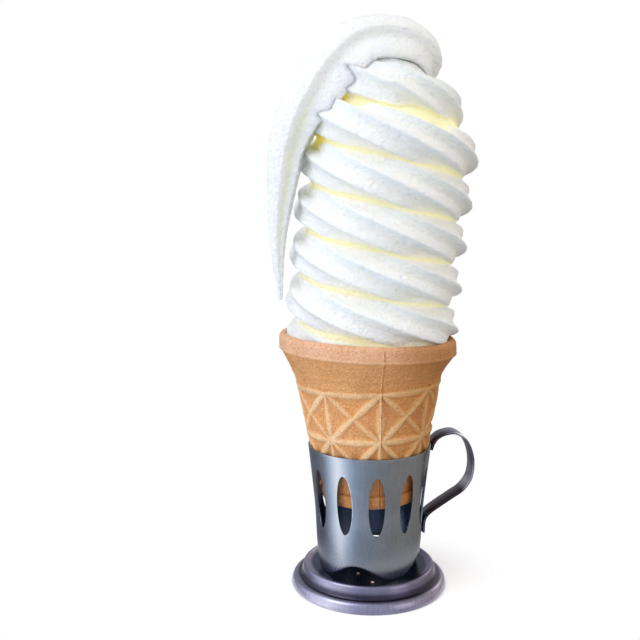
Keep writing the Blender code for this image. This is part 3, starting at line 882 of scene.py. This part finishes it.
@dataclass
class SoftServe:
    """Star-shaped rope of soft serve, wound on a leaning heap and drawn out into a tail."""

    cone: WaferCone
    rope_radius: float = 9.5 * MM
    valley: float = 0.72
    lobes: int = 6
    crest_power: float = 1.15  # 1 gives knife-sharp crests
    sides: int = 96
    coil_radius: float = 28.4 * MM
    pitch: float = 18.35 * MM
    base_z: float = 118.2 * MM
    first_turn: float = -0.95
    last_turn: float = 5.25
    steps: int = 220
    nod: float = 2.5
    lean_from: float = 105.0 * MM
    lean: float = 0.30
    return_from: float = 186.0 * MM
    return_share: float = 4.2
    tilt: float = 0.53
    lobe_angle: float = -20.0
    lobe_twist: float = 360.0
    narrowing: float = 7.0 * MM
    narrowing_turns: Span = (4.4, 5.1)
    tail_twist: float = 219.0
    tail_twist_end: float = 0.31
    tail_steps: int = 20
    tail_route: tuple[tuple[float, float, float, float], ...] = (
        (-9.5, -13.0, 216.4, 9.4), (-14.2, 0.5, 217.6, 9.4), (-8.0, 12.5, 218.6, 9.4), (4.5, 17.5, 220.2, 9.4),
        (16.0, 12.6, 223.4, 9.4), (20.4, 3.6, 229.4, 9.4), (13.8, -1.2, 234.6, 9.4), (3.6, -4.6, 235.9, 9.3),
        (-5.2, -7.2, 234.4, 9.2), (-12.4, -9.4, 229.8, 9.4), (-18.6, -11.4, 222.8, 9.8),
        (-24.4, -13.0, 214.2, 9.9), (-30.2, -13.6, 203.6, 9.6), (-34.9, -13.2, 190.0, 8.1),
        (-37.3, -12.4, 175.0, 6.3), (-38.9, -11.4, 160.5, 4.4), (-39.3, -10.4, 147.0, 2.8),
        (-38.8, -9.6, 137.0, 1.7), (-38.4, -9.0, 128.4, 0.9),
    )
    drawn_spans: Span = (2.0, 7.0)  # spans of the tail over which its back's grooves are worn away
    worn_grooves: Outline = ((30.0, 0.82), (90.0, 0.94), (150.0, 0.8))  # degrees, fill
    worn_width: Span = (30.0, 26.0)
    pressed_fill: float = 0.92  # turns press their neighbours flat
    pressed_facing: Span = (48.0, 76.0)  # degrees from outward
    free_turns: float = 1.15  # the last turns, which nothing lies on
    web_lobe: float = 300.0  # the lobe that sagged on to the heap under the loop, in degrees
    web_width: float = 30.0
    web: float = 0.7
    web_start: Span = (4.0, 8.0)
    web_end: Span = (14.0, 11.0)
    core_overlap: float = 3.0 * MM
    core_levels: int = 24
    core_sides: int = 64
    core_turns: float = 5.0
    dome: Outline = ((4.6, 0.86), (12.0, 0.76), (17.0, 0.62), (20.0, 0.3))  # mm above the core, radius share
    fill_z: float = 98.0 * MM
    gap: float = 0.3 * MM
    mouth: Span = (111.6 * MM, 114.0 * MM)
    mouth_room: float = 30.0 * MM
    loop_spans: int = 5  # spans of the tail that lie on the heap
    fold_depth: Span = (2.5 * MM, 9.5 * MM)
    fold_top: float = 212.0 * MM
    tail_shade_reach: Span = (6.0 * MM, 2.0 * MM)
    groove_share: Span = (0.93, 0.74)
    groove_size: Span = (0.8 * MM, 3.0 * MM)
    crease_start: Span = (0.0, 4.0)  # degrees below a crest
    crease_end: Span = (22.0, 5.0)
    crease_share: Span = (0.66, 0.8)
    wave: Span = (0.25, 0.09)  # height in mm, and bumps in a mm
    pits: tuple[float, Place] = (0.12, (0.62, 0.62, 0.3))  # torn upright as the rope fell
    grains: Span = (0.3, 0.92)
    groove_calm: float = 0.7

    @property
    def tail_start(self) -> int:
        """Index of the section at which the coil ends and the tail begins."""
        return round((self.last_turn - self.first_turn) * self.steps)

    def heap_axis(self, height: float) -> Vector:
        """Find the heap's middle line, which bends to the right as it rises and back again near its top.

        Args:
            height: Height along it, in metres.

        Returns:
            Its point at that height.
        """
        lean = self.lean * max(0.0, height - self.lean_from) ** 1.5
        back = self.return_share * max(0.0, height - self.return_from) ** 2
        return Vector((lean - back, 0.0, height))

    def turn_plane(self, height: float) -> tuple[Vector, Vector]:
        """Find the plane in which a turn lies.

        Args:
            height: Height of the turn, in metres.

        Returns:
            Directions across it: to the right, tipped more the higher it is, and to the back.
        """
        tilt = math.atan(self.tilt * math.sqrt(max(0.0, height - self.lean_from)))
        nod = math.radians(self.nod)
        return Vector((math.cos(tilt), 0.0, -math.sin(tilt))), Vector((0.0, math.cos(nod), math.sin(nod)))

    def radius_at(self, turn: float) -> float:
        """Return the distance of the rope's middle from the heap's middle line."""
        return self.coil_radius - self.narrowing * float(smoothstep(*self.narrowing_turns, turn))

    def coil_point(self, turn: float) -> tuple[Vector, Vector, Vector]:
        """Find the rope's place in the coil.

        Args:
            turn: Turns, counted from the right.

        Returns:
            Its middle, outward and upward directions.
        """
        height = self.base_z + self.pitch * turn
        right, back = self.turn_plane(height)
        angle = -2.0 * math.pi * turn
        outward = right * math.cos(angle) + back * math.sin(angle)
        return (self.heap_axis(height) + outward * self.radius_at(turn), outward.normalized(),
                right.cross(back).normalized())

    def sections(self) -> list[Section]:
        """Follow the rope from inside the cone round the heap and on to the tail's tip.

        Returns:
            Middle, outward and upward directions, radius and lobe angle of each section.
        """
        found = []
        for step in range(self.tail_start + 1):
            turn = self.first_turn + (self.last_turn - self.first_turn) * step / self.tail_start
            centre, outward, upward = self.coil_point(turn)
            lobe_angle = self.lobe_angle + self.lobe_twist * turn
            found.append((centre, outward, upward, self.rope_radius, lobe_angle))
        knots = [Vector((*centre, self.rope_radius)), *(Vector(knot) * MM for knot in self.tail_route)]
        route = smooth_route(knots, self.tail_steps)
        for index in range(1, len(route)):
            centre, size = route[index].to_3d(), route[index].w
            following = route[min(index + 1, len(route) - 1)].to_3d()
            along = (following - route[index - 1].to_3d()).normalized()
            outward = (outward - along * outward.dot(along)).normalized()
            upward = outward.cross(along) if upward.dot(outward.cross(along)) > 0 else along.cross(outward)
            twist = self.tail_twist * min(1.0, index / (len(route) - 1) / self.tail_twist_end)
            found.append((centre, outward, upward, size, lobe_angle + twist))
        return found

    def star(self, index: int, size: float, lobe_angle: float) -> Numbers:
        """Shape one section of the rope: the nozzle's star, worn, pressed and sagged.

        Args:
            index: The section's number.
            size: Its radius at a crest.
            lobe_angle: Degrees by which the star is turned.

        Returns:
            Radius at each of the sides.
        """
        angle = 2.0 * math.pi * np.arange(self.sides) / self.sides
        degrees = np.degrees(angle)
        span = (index - self.tail_start) / self.tail_steps
        crest = 1.0 - np.abs(np.sin(self.lobes / 2 * angle)) ** self.crest_power
        for worn, kept in self.worn_grooves:
            beside = np.abs((degrees - worn + 180.0) % 360.0 - 180.0)
            share = smoothstep(*self.drawn_spans, span) * smoothstep(*self.worn_width, beside)
            crest = crest + np.maximum(0.0, kept - crest) * share
        facing = (degrees + lobe_angle + 180.0) % 360.0 - 180.0
        free = (facing > 0.0) & (index > self.tail_start - round(self.free_turns * self.steps))
        pressed = smoothstep(*self.pressed_facing, np.abs(facing)) * (index < self.tail_start) * ~free
        crest = crest + np.maximum(0.0, self.pressed_fill - crest) * pressed
        webbed = smoothstep(*self.web_start, span) * smoothstep(*self.web_end, span)
        beside = (degrees - self.web_lobe + 180.0) % 360.0 - 180.0
        radius = size * (self.valley + (1.0 - self.valley) * crest)
        return radius * (1.0 + self.web * webbed * bell(beside, self.web_width))

    def wind_rope(self, body: bmesh.types.BMesh, sections: list[Section]) -> None:
        """Sweep the star along the sections.

        Args:
            body: The bmesh that takes the rope.
            sections: The rope's sections.
        """
        rings = []
        for index, (centre, outward, upward, size, lobe_angle) in enumerate(sections):
            turn = math.radians(lobe_angle)
            rings.append([
                body.verts.new(centre + (outward * math.cos(angle) + upward * math.sin(angle)) * radius)
                for angle, radius in ((2.0 * math.pi * side / self.sides + turn, float(radius))
                                      for side, radius in enumerate(self.star(index, size, lobe_angle)))])
        skin_rings(body, rings)

    def fill_core(self, body: bmesh.types.BMesh) -> None:
        """Close the heap behind the rope, with a dome that fills the loop on top.

        Args:
            body: The bmesh that takes the core.
        """
        top = self.base_z + self.pitch * self.core_turns
        levels = [(self.fill_z + (top - self.fill_z) * step / self.core_levels, 1.0)
                  for step in range(self.core_levels + 1)]
        levels += [(top + rise * MM, share) for rise, share in self.dome]
        angles = [2.0 * math.pi * step / self.core_sides for step in range(self.core_sides)]
        rings = []
        for height, share in levels:
            centre = self.heap_axis(height)
            right, back = self.turn_plane(height)
            radius = (self.radius_at((height - self.base_z) / self.pitch) + self.core_overlap) * share
            rings.append([body.verts.new(centre + (right * math.cos(a) + back * math.sin(a)) * radius)
                          for a in angles])
        skin_rings(body, rings)

    def build(self) -> bpy.types.Object:
        """Wind the rope round its core and give it its icy surface.

        Returns:
            The soft serve as one mesh, with attributes fold, tail_shade, groove and crest_shade, which mark
            where its finish paints light and shade.
        """
        sections = self.sections()
        body = bmesh.new()
        self.wind_rope(body, sections)
        self.fill_core(body)
        made = object_from(body, "wound_soft_serve")
        points = self.fit_cone(read_points(made.data))
        write_points(made.data, points)
        groove = self.mark(made.data, points, sections)
        self.freeze(made.data, points, groove)
        shade(made, 180.0)
        return made

    def fit_cone(self, points: Numbers) -> Numbers:
        """Press what is below the rim into the cone's hollow.

        Args:
            points: The soft serve's points.

        Returns:
            The moved points.
        """
        local = self.cone.unsettle(points)
        reach = np.hypot(local[:, 0], local[:, 1])
        limit = self.cone.hollow(local[:, 2]) - self.gap
        limit = limit + smoothstep(*self.mouth, local[:, 2]) * self.mouth_room
        local[:, :2] *= np.minimum(1.0, limit / np.maximum(reach, MM))[:, None]
        return self.cone.settle(local)

    def crease_at(self, point: Vector, section: Section) -> float:
        """Find how far a point lies in the shade just below one of the rope's crests.

        Args:
            point: The point.
            section: The section that is nearest to it.

        Returns:
            A share from 0 to 1.
        """
        centre, outward, upward, _, lobe_angle = section
        aside = point - centre
        face = math.degrees(math.atan2(aside.dot(upward), aside.dot(outward)))
        below = (lobe_angle - face) % (360.0 / self.lobes)
        return float(smoothstep(*self.crease_start, below) * smoothstep(*self.crease_end, below)
                     * smoothstep(*self.crease_share, aside.length / self.rope_radius))

    def fold_at(self, point: Vector) -> float:
        """Find how deep a point lies in the fold between two turns.

        Args:
            point: The point.

        Returns:
            A share from 0 to 1.
        """
        height = point.z
        for _ in range(2):
            slope = self.tilt * math.sqrt(max(0.0, height - self.lean_from))
            height = point.z + (point.x - self.heap_axis(height).x) * slope
        radial = math.hypot(point.x - self.heap_axis(height).x, point.y)
        envelope = self.radius_at((height - self.base_z) / self.pitch) + self.rope_radius
        if height >= self.fold_top:
            return 0.0
        return float(smoothstep(*self.fold_depth, envelope - radial))

    def mark(self, mesh: bpy.types.Mesh, points: Numbers, sections: list[Section]) -> Numbers:
        """Store how deep in a fold each point is, how close it lies under the tail, how deep in the tail's
        grooves and how far in the shade below a crest, for the finish's painted light and shade.

        Args:
            mesh: The mesh that takes the attributes.
            points: Its points.
            sections: The rope's sections.

        Returns:
            How deep each point lies in the tail's grooves.
        """
        hanging = self.tail_start + self.loop_spans * self.tail_steps
        tree, tail_tree = KDTree(len(sections)), KDTree(len(sections) - hanging)
        for index, (centre, *_) in enumerate(sections):
            tree.insert(centre, index)
            if index >= hanging:
                tail_tree.insert(centre, index)
        tree.balance()
        tail_tree.balance()
        marks = {name: np.zeros(len(points)) for name in ("fold", "tail_shade", "groove", "crest_shade")}
        for i, point in enumerate(map(Vector, points)):
            _, index, distance = tree.find(point)
            if index >= hanging:
                size = sections[index][3]
                marks["groove"][i] = (smoothstep(*self.groove_share, distance / size)
                                      * smoothstep(*self.groove_size, size))
                continue
            _, near, reach = tail_tree.find(point)
            marks["crest_shade"][i] = self.crease_at(point, sections[index])
            marks["fold"][i] = self.fold_at(point)
            marks["tail_shade"][i] = smoothstep(*self.tail_shade_reach, reach - sections[near][3])
        for name, values in marks.items():
            point_attribute(mesh, name, values)
        return marks["groove"]

    def freeze(self, mesh: bpy.types.Mesh, points: Numbers, groove: Numbers) -> None:
        """Move the skin by fractions of a millimetre: slow waves, torn upright pits and ice grains.

        Args:
            mesh: The soft serve's mesh.
            points: Its points.
            groove: How deep each point lies in the tail's grooves, which are smoother.
        """
        moves = np.empty(len(points))
        for i, point in enumerate(points / MM):
            wave, pits, grains = (height * noise.noise(Vector(point * rate))
                                  for height, rate in (self.wave, self.pits, self.grains))
            moves[i] = wave + (pits + grains) * (1.0 - self.groove_calm * groove[i])
        write_points(mesh, points + read_points(mesh, "normal") * (moves * MM)[:, None])

    def dress(self, made: bpy.types.Object, axis_x: float) -> None:
        """Give the soft serve its frozen skin."""
        finish_piece(made, SoftServeFinish(), "soft_serve", axis_x)


# The holder


@dataclass
class HolderBase:
    """Pressed dish: floor darkened by painted shade, raised bead, brim and a turned-in foot."""

    sheet: float = 0.8 * MM
    outline: Outline = (
        (0.0, 9.0), (12.0, 9.0), (22.0, 9.0), (25.4, 9.0), (26.8, 9.35), (27.9, 9.9), (28.9, 9.3), (29.7, 6.9),
        (30.7, 4.9), (32.2, 4.7), (33.5, 3.8), (34.3, 1.9), (34.4, 0.8), (33.9, 0.05), (33.2, 0.0), (32.2, 0.0),
    )
    outline_steps: int = 5
    middle_hole: float = 0.05 * MM  # so that the middle's faces keep four corners
    steps: int = 200
    # Painted reflections and shade: a dark floor and groove, a bright bead and brim, and brighter to the left
    # and the right than across the middle.
    finish: SteelFinish = SteelFinish(
        "pressed_stainless", "CFCCDA", "B0ACBA", Grain.RADIAL, 0.26,
        painted_light_by_run=((0.0, "5C6880"), (25.0, "5C6880"), (26.2, "D0CCDC"), (28.5, "E4E0EC"), (31.0, "D0CCDA"),
               (32.4, "706C78"), (34.4, "5E5A66"), (35.4, "C8C6D2"), (37.0, "F4F2FA"), (44.0, "F4F2FA")),
        painted_light_by_place=((-38.0, "FFFFFF"), (-20.0, "FFFFFF"), (-8.0, "B4B8C6"), (12.0, "ACAEBC"), (24.0, "C8C4CC"),
              (32.0, "FFFFFF"), (38.0, "FFFFFF")))

    def build(self) -> bpy.types.Object:
        """Press the dish.

        Returns:
            The base.
        """
        outline = fine_outline(self.outline, self.outline_steps)
        outline[:, 1] = np.maximum(outline[:, 1], 0.0)
        outline[0, 0] = self.middle_hole
        made = turned("pressed_base", outline, np.linspace(0.0, 2.0 * math.pi, self.steps, endpoint=False))
        modify(made, "SOLIDIFY", thickness=self.sheet, offset=-1.0, use_even_offset=True)
        shade(made)
        return made

    def dress(self, made: bpy.types.Object, axis_x: float) -> None:
        """Give the base its pressed and polished steel."""
        finish_piece(made, self.finish, "holder_base", axis_x)


@dataclass
class WeldSpots:
    """Two small raised spot welds on the base's floor, where the sheet took on a straw tint."""

    places: Outline = ((-22.0, 14.0), (1.3, 21.8))  # azimuth in degrees and distance from the axis in mm
    floor_z: float = 9.0 * MM
    radius: float = 0.75 * MM
    rise: float = 0.7  # of a ball's height
    finish: SteelFinish = SteelFinish("tinted_weld", "F2D0B0", "D8B092", Grain.ROUND, 0.4)

    def build(self) -> bpy.types.Object:
        """Raise the spots.

        Returns:
            The spots as one piece.
        """
        body = bmesh.new()
        for azimuth, reach in self.places:
            turn = math.radians(azimuth)
            place = Vector((math.sin(turn) * reach * MM, -math.cos(turn) * reach * MM, self.floor_z))
            spot = Matrix.Translation(place) @ Matrix.Diagonal((1.0, 1.0, self.rise, 1.0))
            bmesh.ops.create_uvsphere(body, u_segments=20, v_segments=12, radius=self.radius, matrix=spot)
        made = object_from(body, "weld_spots")
        made.data.uv_layers.new(name="sheet")
        shade(made)
        return made

    def dress(self, made: bpy.types.Object, axis_x: float) -> None:
        """Give the spots their straw-tinted steel."""
        finish_piece(made, self.finish, "holder_base", axis_x, instead=False)


@dataclass
class HolderCup:
    """Tapered sheet cup with a waved foot and a ring of upright oval slots."""

    sheet: float = 0.6 * MM
    outline: Outline = ((27.0, 63.7), (25.6, 51.4), (24.0, 36.0), (23.2, 22.0), (22.3, 9.4))
    outline_steps: int = 10
    steps: int = 264
    arches: int = 4
    arch_height: float = 6.4 * MM
    arch_azimuth: float = -17.0
    arch_roundness: float = 1.25
    arch_reach: float = 18.0 * MM  # height over which the foot's wave dies out
    back_arch: Span = (0.45, 0.5)  # share by which the one at the back is lower, and its width in radians
    slots: int = 11
    slot_azimuth: float = 4.5
    slot_size: Span = (7.0 * MM, 26.2 * MM)
    slot_z: float = 42.4 * MM
    slot_steps: int = 56
    punch_depth: float = 8.0 * MM
    edge: float = 0.12 * MM
    # Painted shade: the steel is painted darker towards the foot.
    finish: SteelFinish = SteelFinish(
        "brushed_stainless_upright", "A8ADB4", "9A9FA6", Grain.UPRIGHT, 0.27,
        painted_light_by_place=((8.0, "D0D2D6"), (20.0, "DADCE0"), (34.0, "FFFFFF")), painted_light_axis="Z")

    def wave_foot(self, azimuths: Numbers, outline: Numbers) -> Numbers:
        """Lift the sheet's foot into arches.

        Args:
            azimuths: Angles of the columns, in radians.
            outline: Radius and height of each row, in metres.

        Returns:
            The sheet's points, in rows and columns.
        """
        front = math.radians(self.arch_azimuth)
        rise = self.arch_height * (0.5 + 0.5 * np.cos(self.arches * (azimuths - front))) ** self.arch_roundness
        # One arch at the back was pressed lower than the others.
        off = (azimuths - math.radians(self.arch_azimuth + 180.0) + math.pi) % (2.0 * math.pi) - math.pi
        rise = rise * (1.0 - self.back_arch[0] * bell(off, self.back_arch[1]))
        foot = outline[-1, 1]
        lift = smoothstep(foot + self.arch_reach, foot, outline[:, 1])[:, None] * rise[None, :]
        height = outline[:, 1:2] + lift
        return about_axis(np.interp(height, outline[::-1, 1], outline[::-1, 0]), azimuths, height)

    def punch_slots(self, made: bpy.types.Object, outline: Numbers) -> None:
        """Cut the ring of slots.

        Args:
            made: The rolled sheet.
            outline: Its radius and height pairs, in metres.
        """
        punches = bpy.data.collections.new("punches")
        bpy.context.scene.collection.children.link(punches)
        middle = float(np.interp(self.slot_z, outline[::-1, 1], outline[::-1, 0]))
        for index in range(self.slots):
            azimuth = math.radians(self.slot_azimuth + index * 360.0 / self.slots)
            body = bmesh.new()
            bmesh.ops.create_cone(body, cap_ends=True, segments=self.slot_steps, radius1=0.5, radius2=0.5,
                                  depth=self.punch_depth)
            bmesh.ops.scale(body, vec=(*self.slot_size, 1.0), verts=body.verts)
            outward = Vector((math.sin(azimuth), -math.cos(azimuth), 0.0))
            sideways = Vector((outward.y, -outward.x, 0.0))
            turn = Matrix((sideways, Vector((0.0, 0.0, 1.0)), outward)).transposed().to_4x4()
            bmesh.ops.transform(body, matrix=turn, verts=body.verts)
            bmesh.ops.translate(body, vec=outward * middle + Vector((0.0, 0.0, self.slot_z)), verts=body.verts)
            bmesh.ops.recalc_face_normals(body, faces=body.faces)
            object_from(body, f"punch_{index}", punches)
        modify(made, "BOOLEAN", operation="DIFFERENCE", operand_type="COLLECTION", collection=punches,
               solver="MANIFOLD")
        for punch in list(punches.objects):
            bpy.data.objects.remove(punch)
        bpy.data.collections.remove(punches)

    def build(self) -> bpy.types.Object:
        """Roll the sheet, wave its foot and punch the slots.

        Returns:
            The cup, with an attribute inside for its inner face.
        """
        outline = fine_outline(self.outline, self.outline_steps)
        azimuths = np.linspace(0.0, 2.0 * math.pi, self.steps, endpoint=False)
        made = turned("slotted_cup", outline, azimuths)
        write_points(made.data, self.wave_foot(azimuths, outline))
        modify(made, "SOLIDIFY", thickness=self.sheet, offset=-1.0, use_even_offset=True)
        self.punch_slots(made, outline)
        modify(made, "BEVEL", width=self.edge, segments=2, limit_method="ANGLE",
               angle_limit=math.radians(50.0), use_clamp_overlap=True)
        points = read_points(made.data)
        skin = np.interp(points[:, 2], outline[::-1, 1], outline[::-1, 0])
        depth = skin - np.hypot(points[:, 0], points[:, 1])
        point_attribute(made.data, "inside", smoothstep(0.4 * self.sheet, 0.75 * self.sheet, depth))
        shade(made)
        return made

    def dress(self, made: bpy.types.Object, axis_x: float) -> None:
        """Give the cup its steel, brushed upright."""
        finish_piece(made, self.finish, "holder_cup", axis_x)


@dataclass
class StripHandle:
    """Steel strip, bent to an ear and spot welded to the cup at both ends."""

    azimuth: float = 96.0
    width: float = 9.0 * MM
    sheet: float = 1.1 * MM
    edge: float = 0.3 * MM
    edge_corner: float = 0.3  # of the edge's radius, where its arc's middle point lies
    steps: int = 8
    route: Outline = (
        (27.1, 60.8), (28.0, 63.4), (29.9, 66.0), (33.4, 67.7), (38.4, 67.9), (43.2, 64.0), (45.9, 56.3),
        (45.4, 48.0), (41.8, 42.4), (36.4, 38.7), (30.6, 34.9), (26.2, 31.6), (24.4, 28.4), (24.05, 23.2),
    )
    # Painted reflections and shade along the strip: dark faces, with bright highlights over the top and at the
    # lower bend.
    finish: SteelFinish = SteelFinish(
        "stainless_strip", "D2CED4", "B4ACB4", Grain.ROUND, 0.2,
        painted_light_by_run=((0.0, "564C50"), (9.0, "5E5458"), (13.0, "A8ACB8"), (16.5, "FFFFFF"), (20.5, "A09C9C"),
               (30.0, "A09A9C"), (35.0, "FFFFFF"), (41.5, "FFFFFF"), (45.5, "5A5054"), (63.0, "4C4246"),
               (68.0, "8088A0")))

    def section(self) -> Outline:
        """Outline of the strip cut across, with rounded edges.

        Returns:
            Places across the strip and through its sheet, in metres.
        """
        half, thick, edge, corner = self.width / 2.0, self.sheet / 2.0, self.edge, self.edge_corner * self.edge
        side = ((half - edge, thick), (half - corner, thick - corner), (half, thick - edge),
                (half, edge - thick), (half - corner, corner - thick), (half - edge, -thick))
        return side + tuple((-u, v) for u, v in reversed(side))

    def build(self) -> bpy.types.Object:
        """Bend the strip.

        Returns:
            The handle.
        """
        route = fine_outline(self.route, self.steps)
        along = np.gradient(route, axis=0)
        along /= np.linalg.norm(along, axis=1)[:, None]
        side = np.stack([-along[:, 1], along[:, 0]], axis=-1)
        turn = math.radians(self.azimuth)
        outward, cross = (np.array(axis) for axis in (
            (math.sin(turn), -math.cos(turn), 0.0), (math.cos(turn), math.sin(turn), 0.0)))
        section = self.section()
        rows = []
        for u, v in section:
            flat = route + side * v
            rows.append(flat[:, 0:1] * outward + flat[:, 1:2] * np.array([0.0, 0.0, 1.0]) + u * cross)
        lengths = (run_along(np.array(section)), -run_along(route))
        made = sheet_grid("strip_handle", np.stack(rows, axis=1), lengths)
        close_ends(made, len(section))
        shade(made)
        return made

    def dress(self, made: bpy.types.Object, axis_x: float) -> None:
        """Give the strip its satin steel."""
        finish_piece(made, self.finish, "holder_handle", axis_x)


# The studio


@dataclass(frozen=True)
class SoftLight:
    """Square soft light."""

    name: str
    place: Place
    target: Place
    size: float
    power: float  # watts
    tint: str

    def hang(self) -> None:
        """Hang the light in the scene, facing its target."""
        light = bpy.data.lights.new(self.name, "AREA")
        light.size = self.size
        light.energy = self.power
        light.color = linear(self.tint)[:3]
        holder = bpy.data.objects.new(self.name, light)
        holder.location = self.place
        holder.rotation_euler = (Vector(self.place) - Vector(self.target)).to_track_quat("Z", "Y").to_euler()
        bpy.context.scene.collection.objects.link(holder)


@dataclass
class Studio:
    """Seamless pale floor, soft lights and the photograph's camera."""

    floor_radius: float = 0.075
    camera_place: Place = (-21.8 * MM, -371.5 * MM, 166.0 * MM)
    camera_fall: float = 7.3
    focal_pixels: float = 864.0
    sensor: float = 36.0
    near: float = 0.01
    lights: tuple[SoftLight, ...] = (
        SoftLight("key", (-0.7, -0.5, 1.05), (0.0, 0.0, 0.14), 0.8, 3.2, "FFFFFF"),
        SoftLight("back_right", (0.6, 0.62, 0.5), (0.0, 0.0, 0.03), 0.3, 0.5, "FFF0F2"),
        SoftLight("fill", (0.8, -0.7, 0.4), (0.0, 0.0, 0.16), 0.6, 1.4, "FFF6EA"),
    )
    surround_strength: float = 1.46
    # Azimuth from the front to the right, and what stands there: a cool window-like panel at the left front.
    surround: Stops = (
        (-180.0, "9A9AA0"), (-135.0, "7C7F88"), (-95.0, "D8E0EC"), (-70.0, "EEF4FC"), (-48.0, "FFFFFF"),
        (-28.0, "E4E9EE"), (0.0, "DCDEE0"), (45.0, "D2D0CC"), (90.0, "D2CBC4"), (135.0, "A8A29A"),
        (180.0, "9A9AA0"),
    )
    table_strength: float = 2.5
    # The same for the table's far parts, which the steel mirrors.
    table: Stops = (
        (-180.0, "585860"), (-135.0, "484C54"), (-105.0, "5C606A"), (-86.0, "A8B4C6"), (-68.0, "FFFFFF"),
        (-52.0, "B0BCCE"), (-34.0, "7A8494"), (0.0, "6E747C"), (45.0, "6A6866"), (90.0, "706C68"),
        (135.0, "605C58"), (180.0, "585860"),
    )
    table_edge: Span = (0.1, -0.15)  # from the surround down to the table

    def build(self, axis_x: float) -> None:
        """Lay the floor, hang the lights and set up the camera.

        Args:
            axis_x: Where the holder's axis stands.
        """
        self.lay_floor()
        self.light_world()
        for light in self.lights:
            light.hang()
        camera = bpy.data.cameras.new("photo_camera")
        camera.sensor_width = self.sensor
        camera.lens = self.focal_pixels / IMAGE_SIZE * self.sensor
        camera.clip_start = self.near
        holder = bpy.data.objects.new("photo_camera", camera)
        holder.location = Vector(self.camera_place) + Vector((axis_x, 0.0, 0.0))
        holder.rotation_euler = Euler((math.pi / 2.0 - math.radians(self.camera_fall), 0.0, 0.0))
        bpy.context.scene.collection.objects.link(holder)
        bpy.context.scene.camera = holder
        bpy.context.scene.view_settings.view_transform = "Standard"

    def lay_floor(self) -> None:
        """Lay a disc of paper under the foot."""
        body = bmesh.new()
        bmesh.ops.create_circle(body, cap_ends=True, segments=64, radius=self.floor_radius)
        floor = object_from(body, "paper_floor")
        floor.data.materials.append(StudioFloorFinish().build())

    def light_world(self) -> None:
        """Even white for the eye, with softer light for the object, cooler from the left."""
        world = bpy.data.worlds.new("studio")
        world.use_nodes = True
        bpy.context.scene.world = world
        world.node_tree.nodes.clear()
        towards = add_node(world, "TexCoord").outputs["Generated"]
        split = add_node(world, "SeparateXYZ", {0: towards})
        depth = add_node(world, "Math", {0: split.outputs["Y"], 1: -1.0}, operation="MULTIPLY")
        azimuth = add_node(world, "Math", {
            0: split.outputs["X"], 1: depth.outputs[0]}, operation="ARCTAN2")
        share = add_node(world, "MapRange", {
            "Value": azimuth.outputs[0], "From Min": -math.pi, "From Max": math.pi})
        above, below = (
            add_node(world, "Background", {
                "Strength": strength,
                "Color": add_node(world, "ValToRGB", {"Fac": share.outputs[0]}, stops=tuple(
                    ((degrees + 180.0) / 360.0, code) for degrees, code in around)).outputs["Color"]})
            for around, strength in ((self.surround, self.surround_strength),
                                     (self.table, self.table_strength)))
        low = add_node(world, "MapRange", {
            "Value": split.outputs["Z"], "From Min": self.table_edge[0],
            "From Max": self.table_edge[1]}, **EASED)
        light = add_node(world, "MixShader", {0: low.outputs[0], 1: above.outputs[0], 2: below.outputs[0]})
        white = add_node(world, "Background", {"Color": linear("FFFFFF"), "Strength": 1.0})
        seen = add_node(world, "LightPath").outputs["Is Camera Ray"]
        mixed = add_node(world, "MixShader", {0: seen, 1: light.outputs[0], 2: white.outputs[0]})
        add_node(world, "OutputWorld", {"Surface": mixed.outputs[0]})


def main() -> None:
    """Build every piece in order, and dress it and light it."""
    logging.basicConfig(level=logging.INFO, format="%(name)s %(message)s")
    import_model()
    low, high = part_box("holder_base")
    axis_x = (low.x + high.x) / 2.0
    Studio().build(axis_x)
    cone = WaferCone()
    for piece in (HolderBase(), WeldSpots(), HolderCup(), StripHandle(), cone, SoftServe(cone)):
        piece.dress(piece.build(), axis_x)


if __name__ == "__main__":
    main()
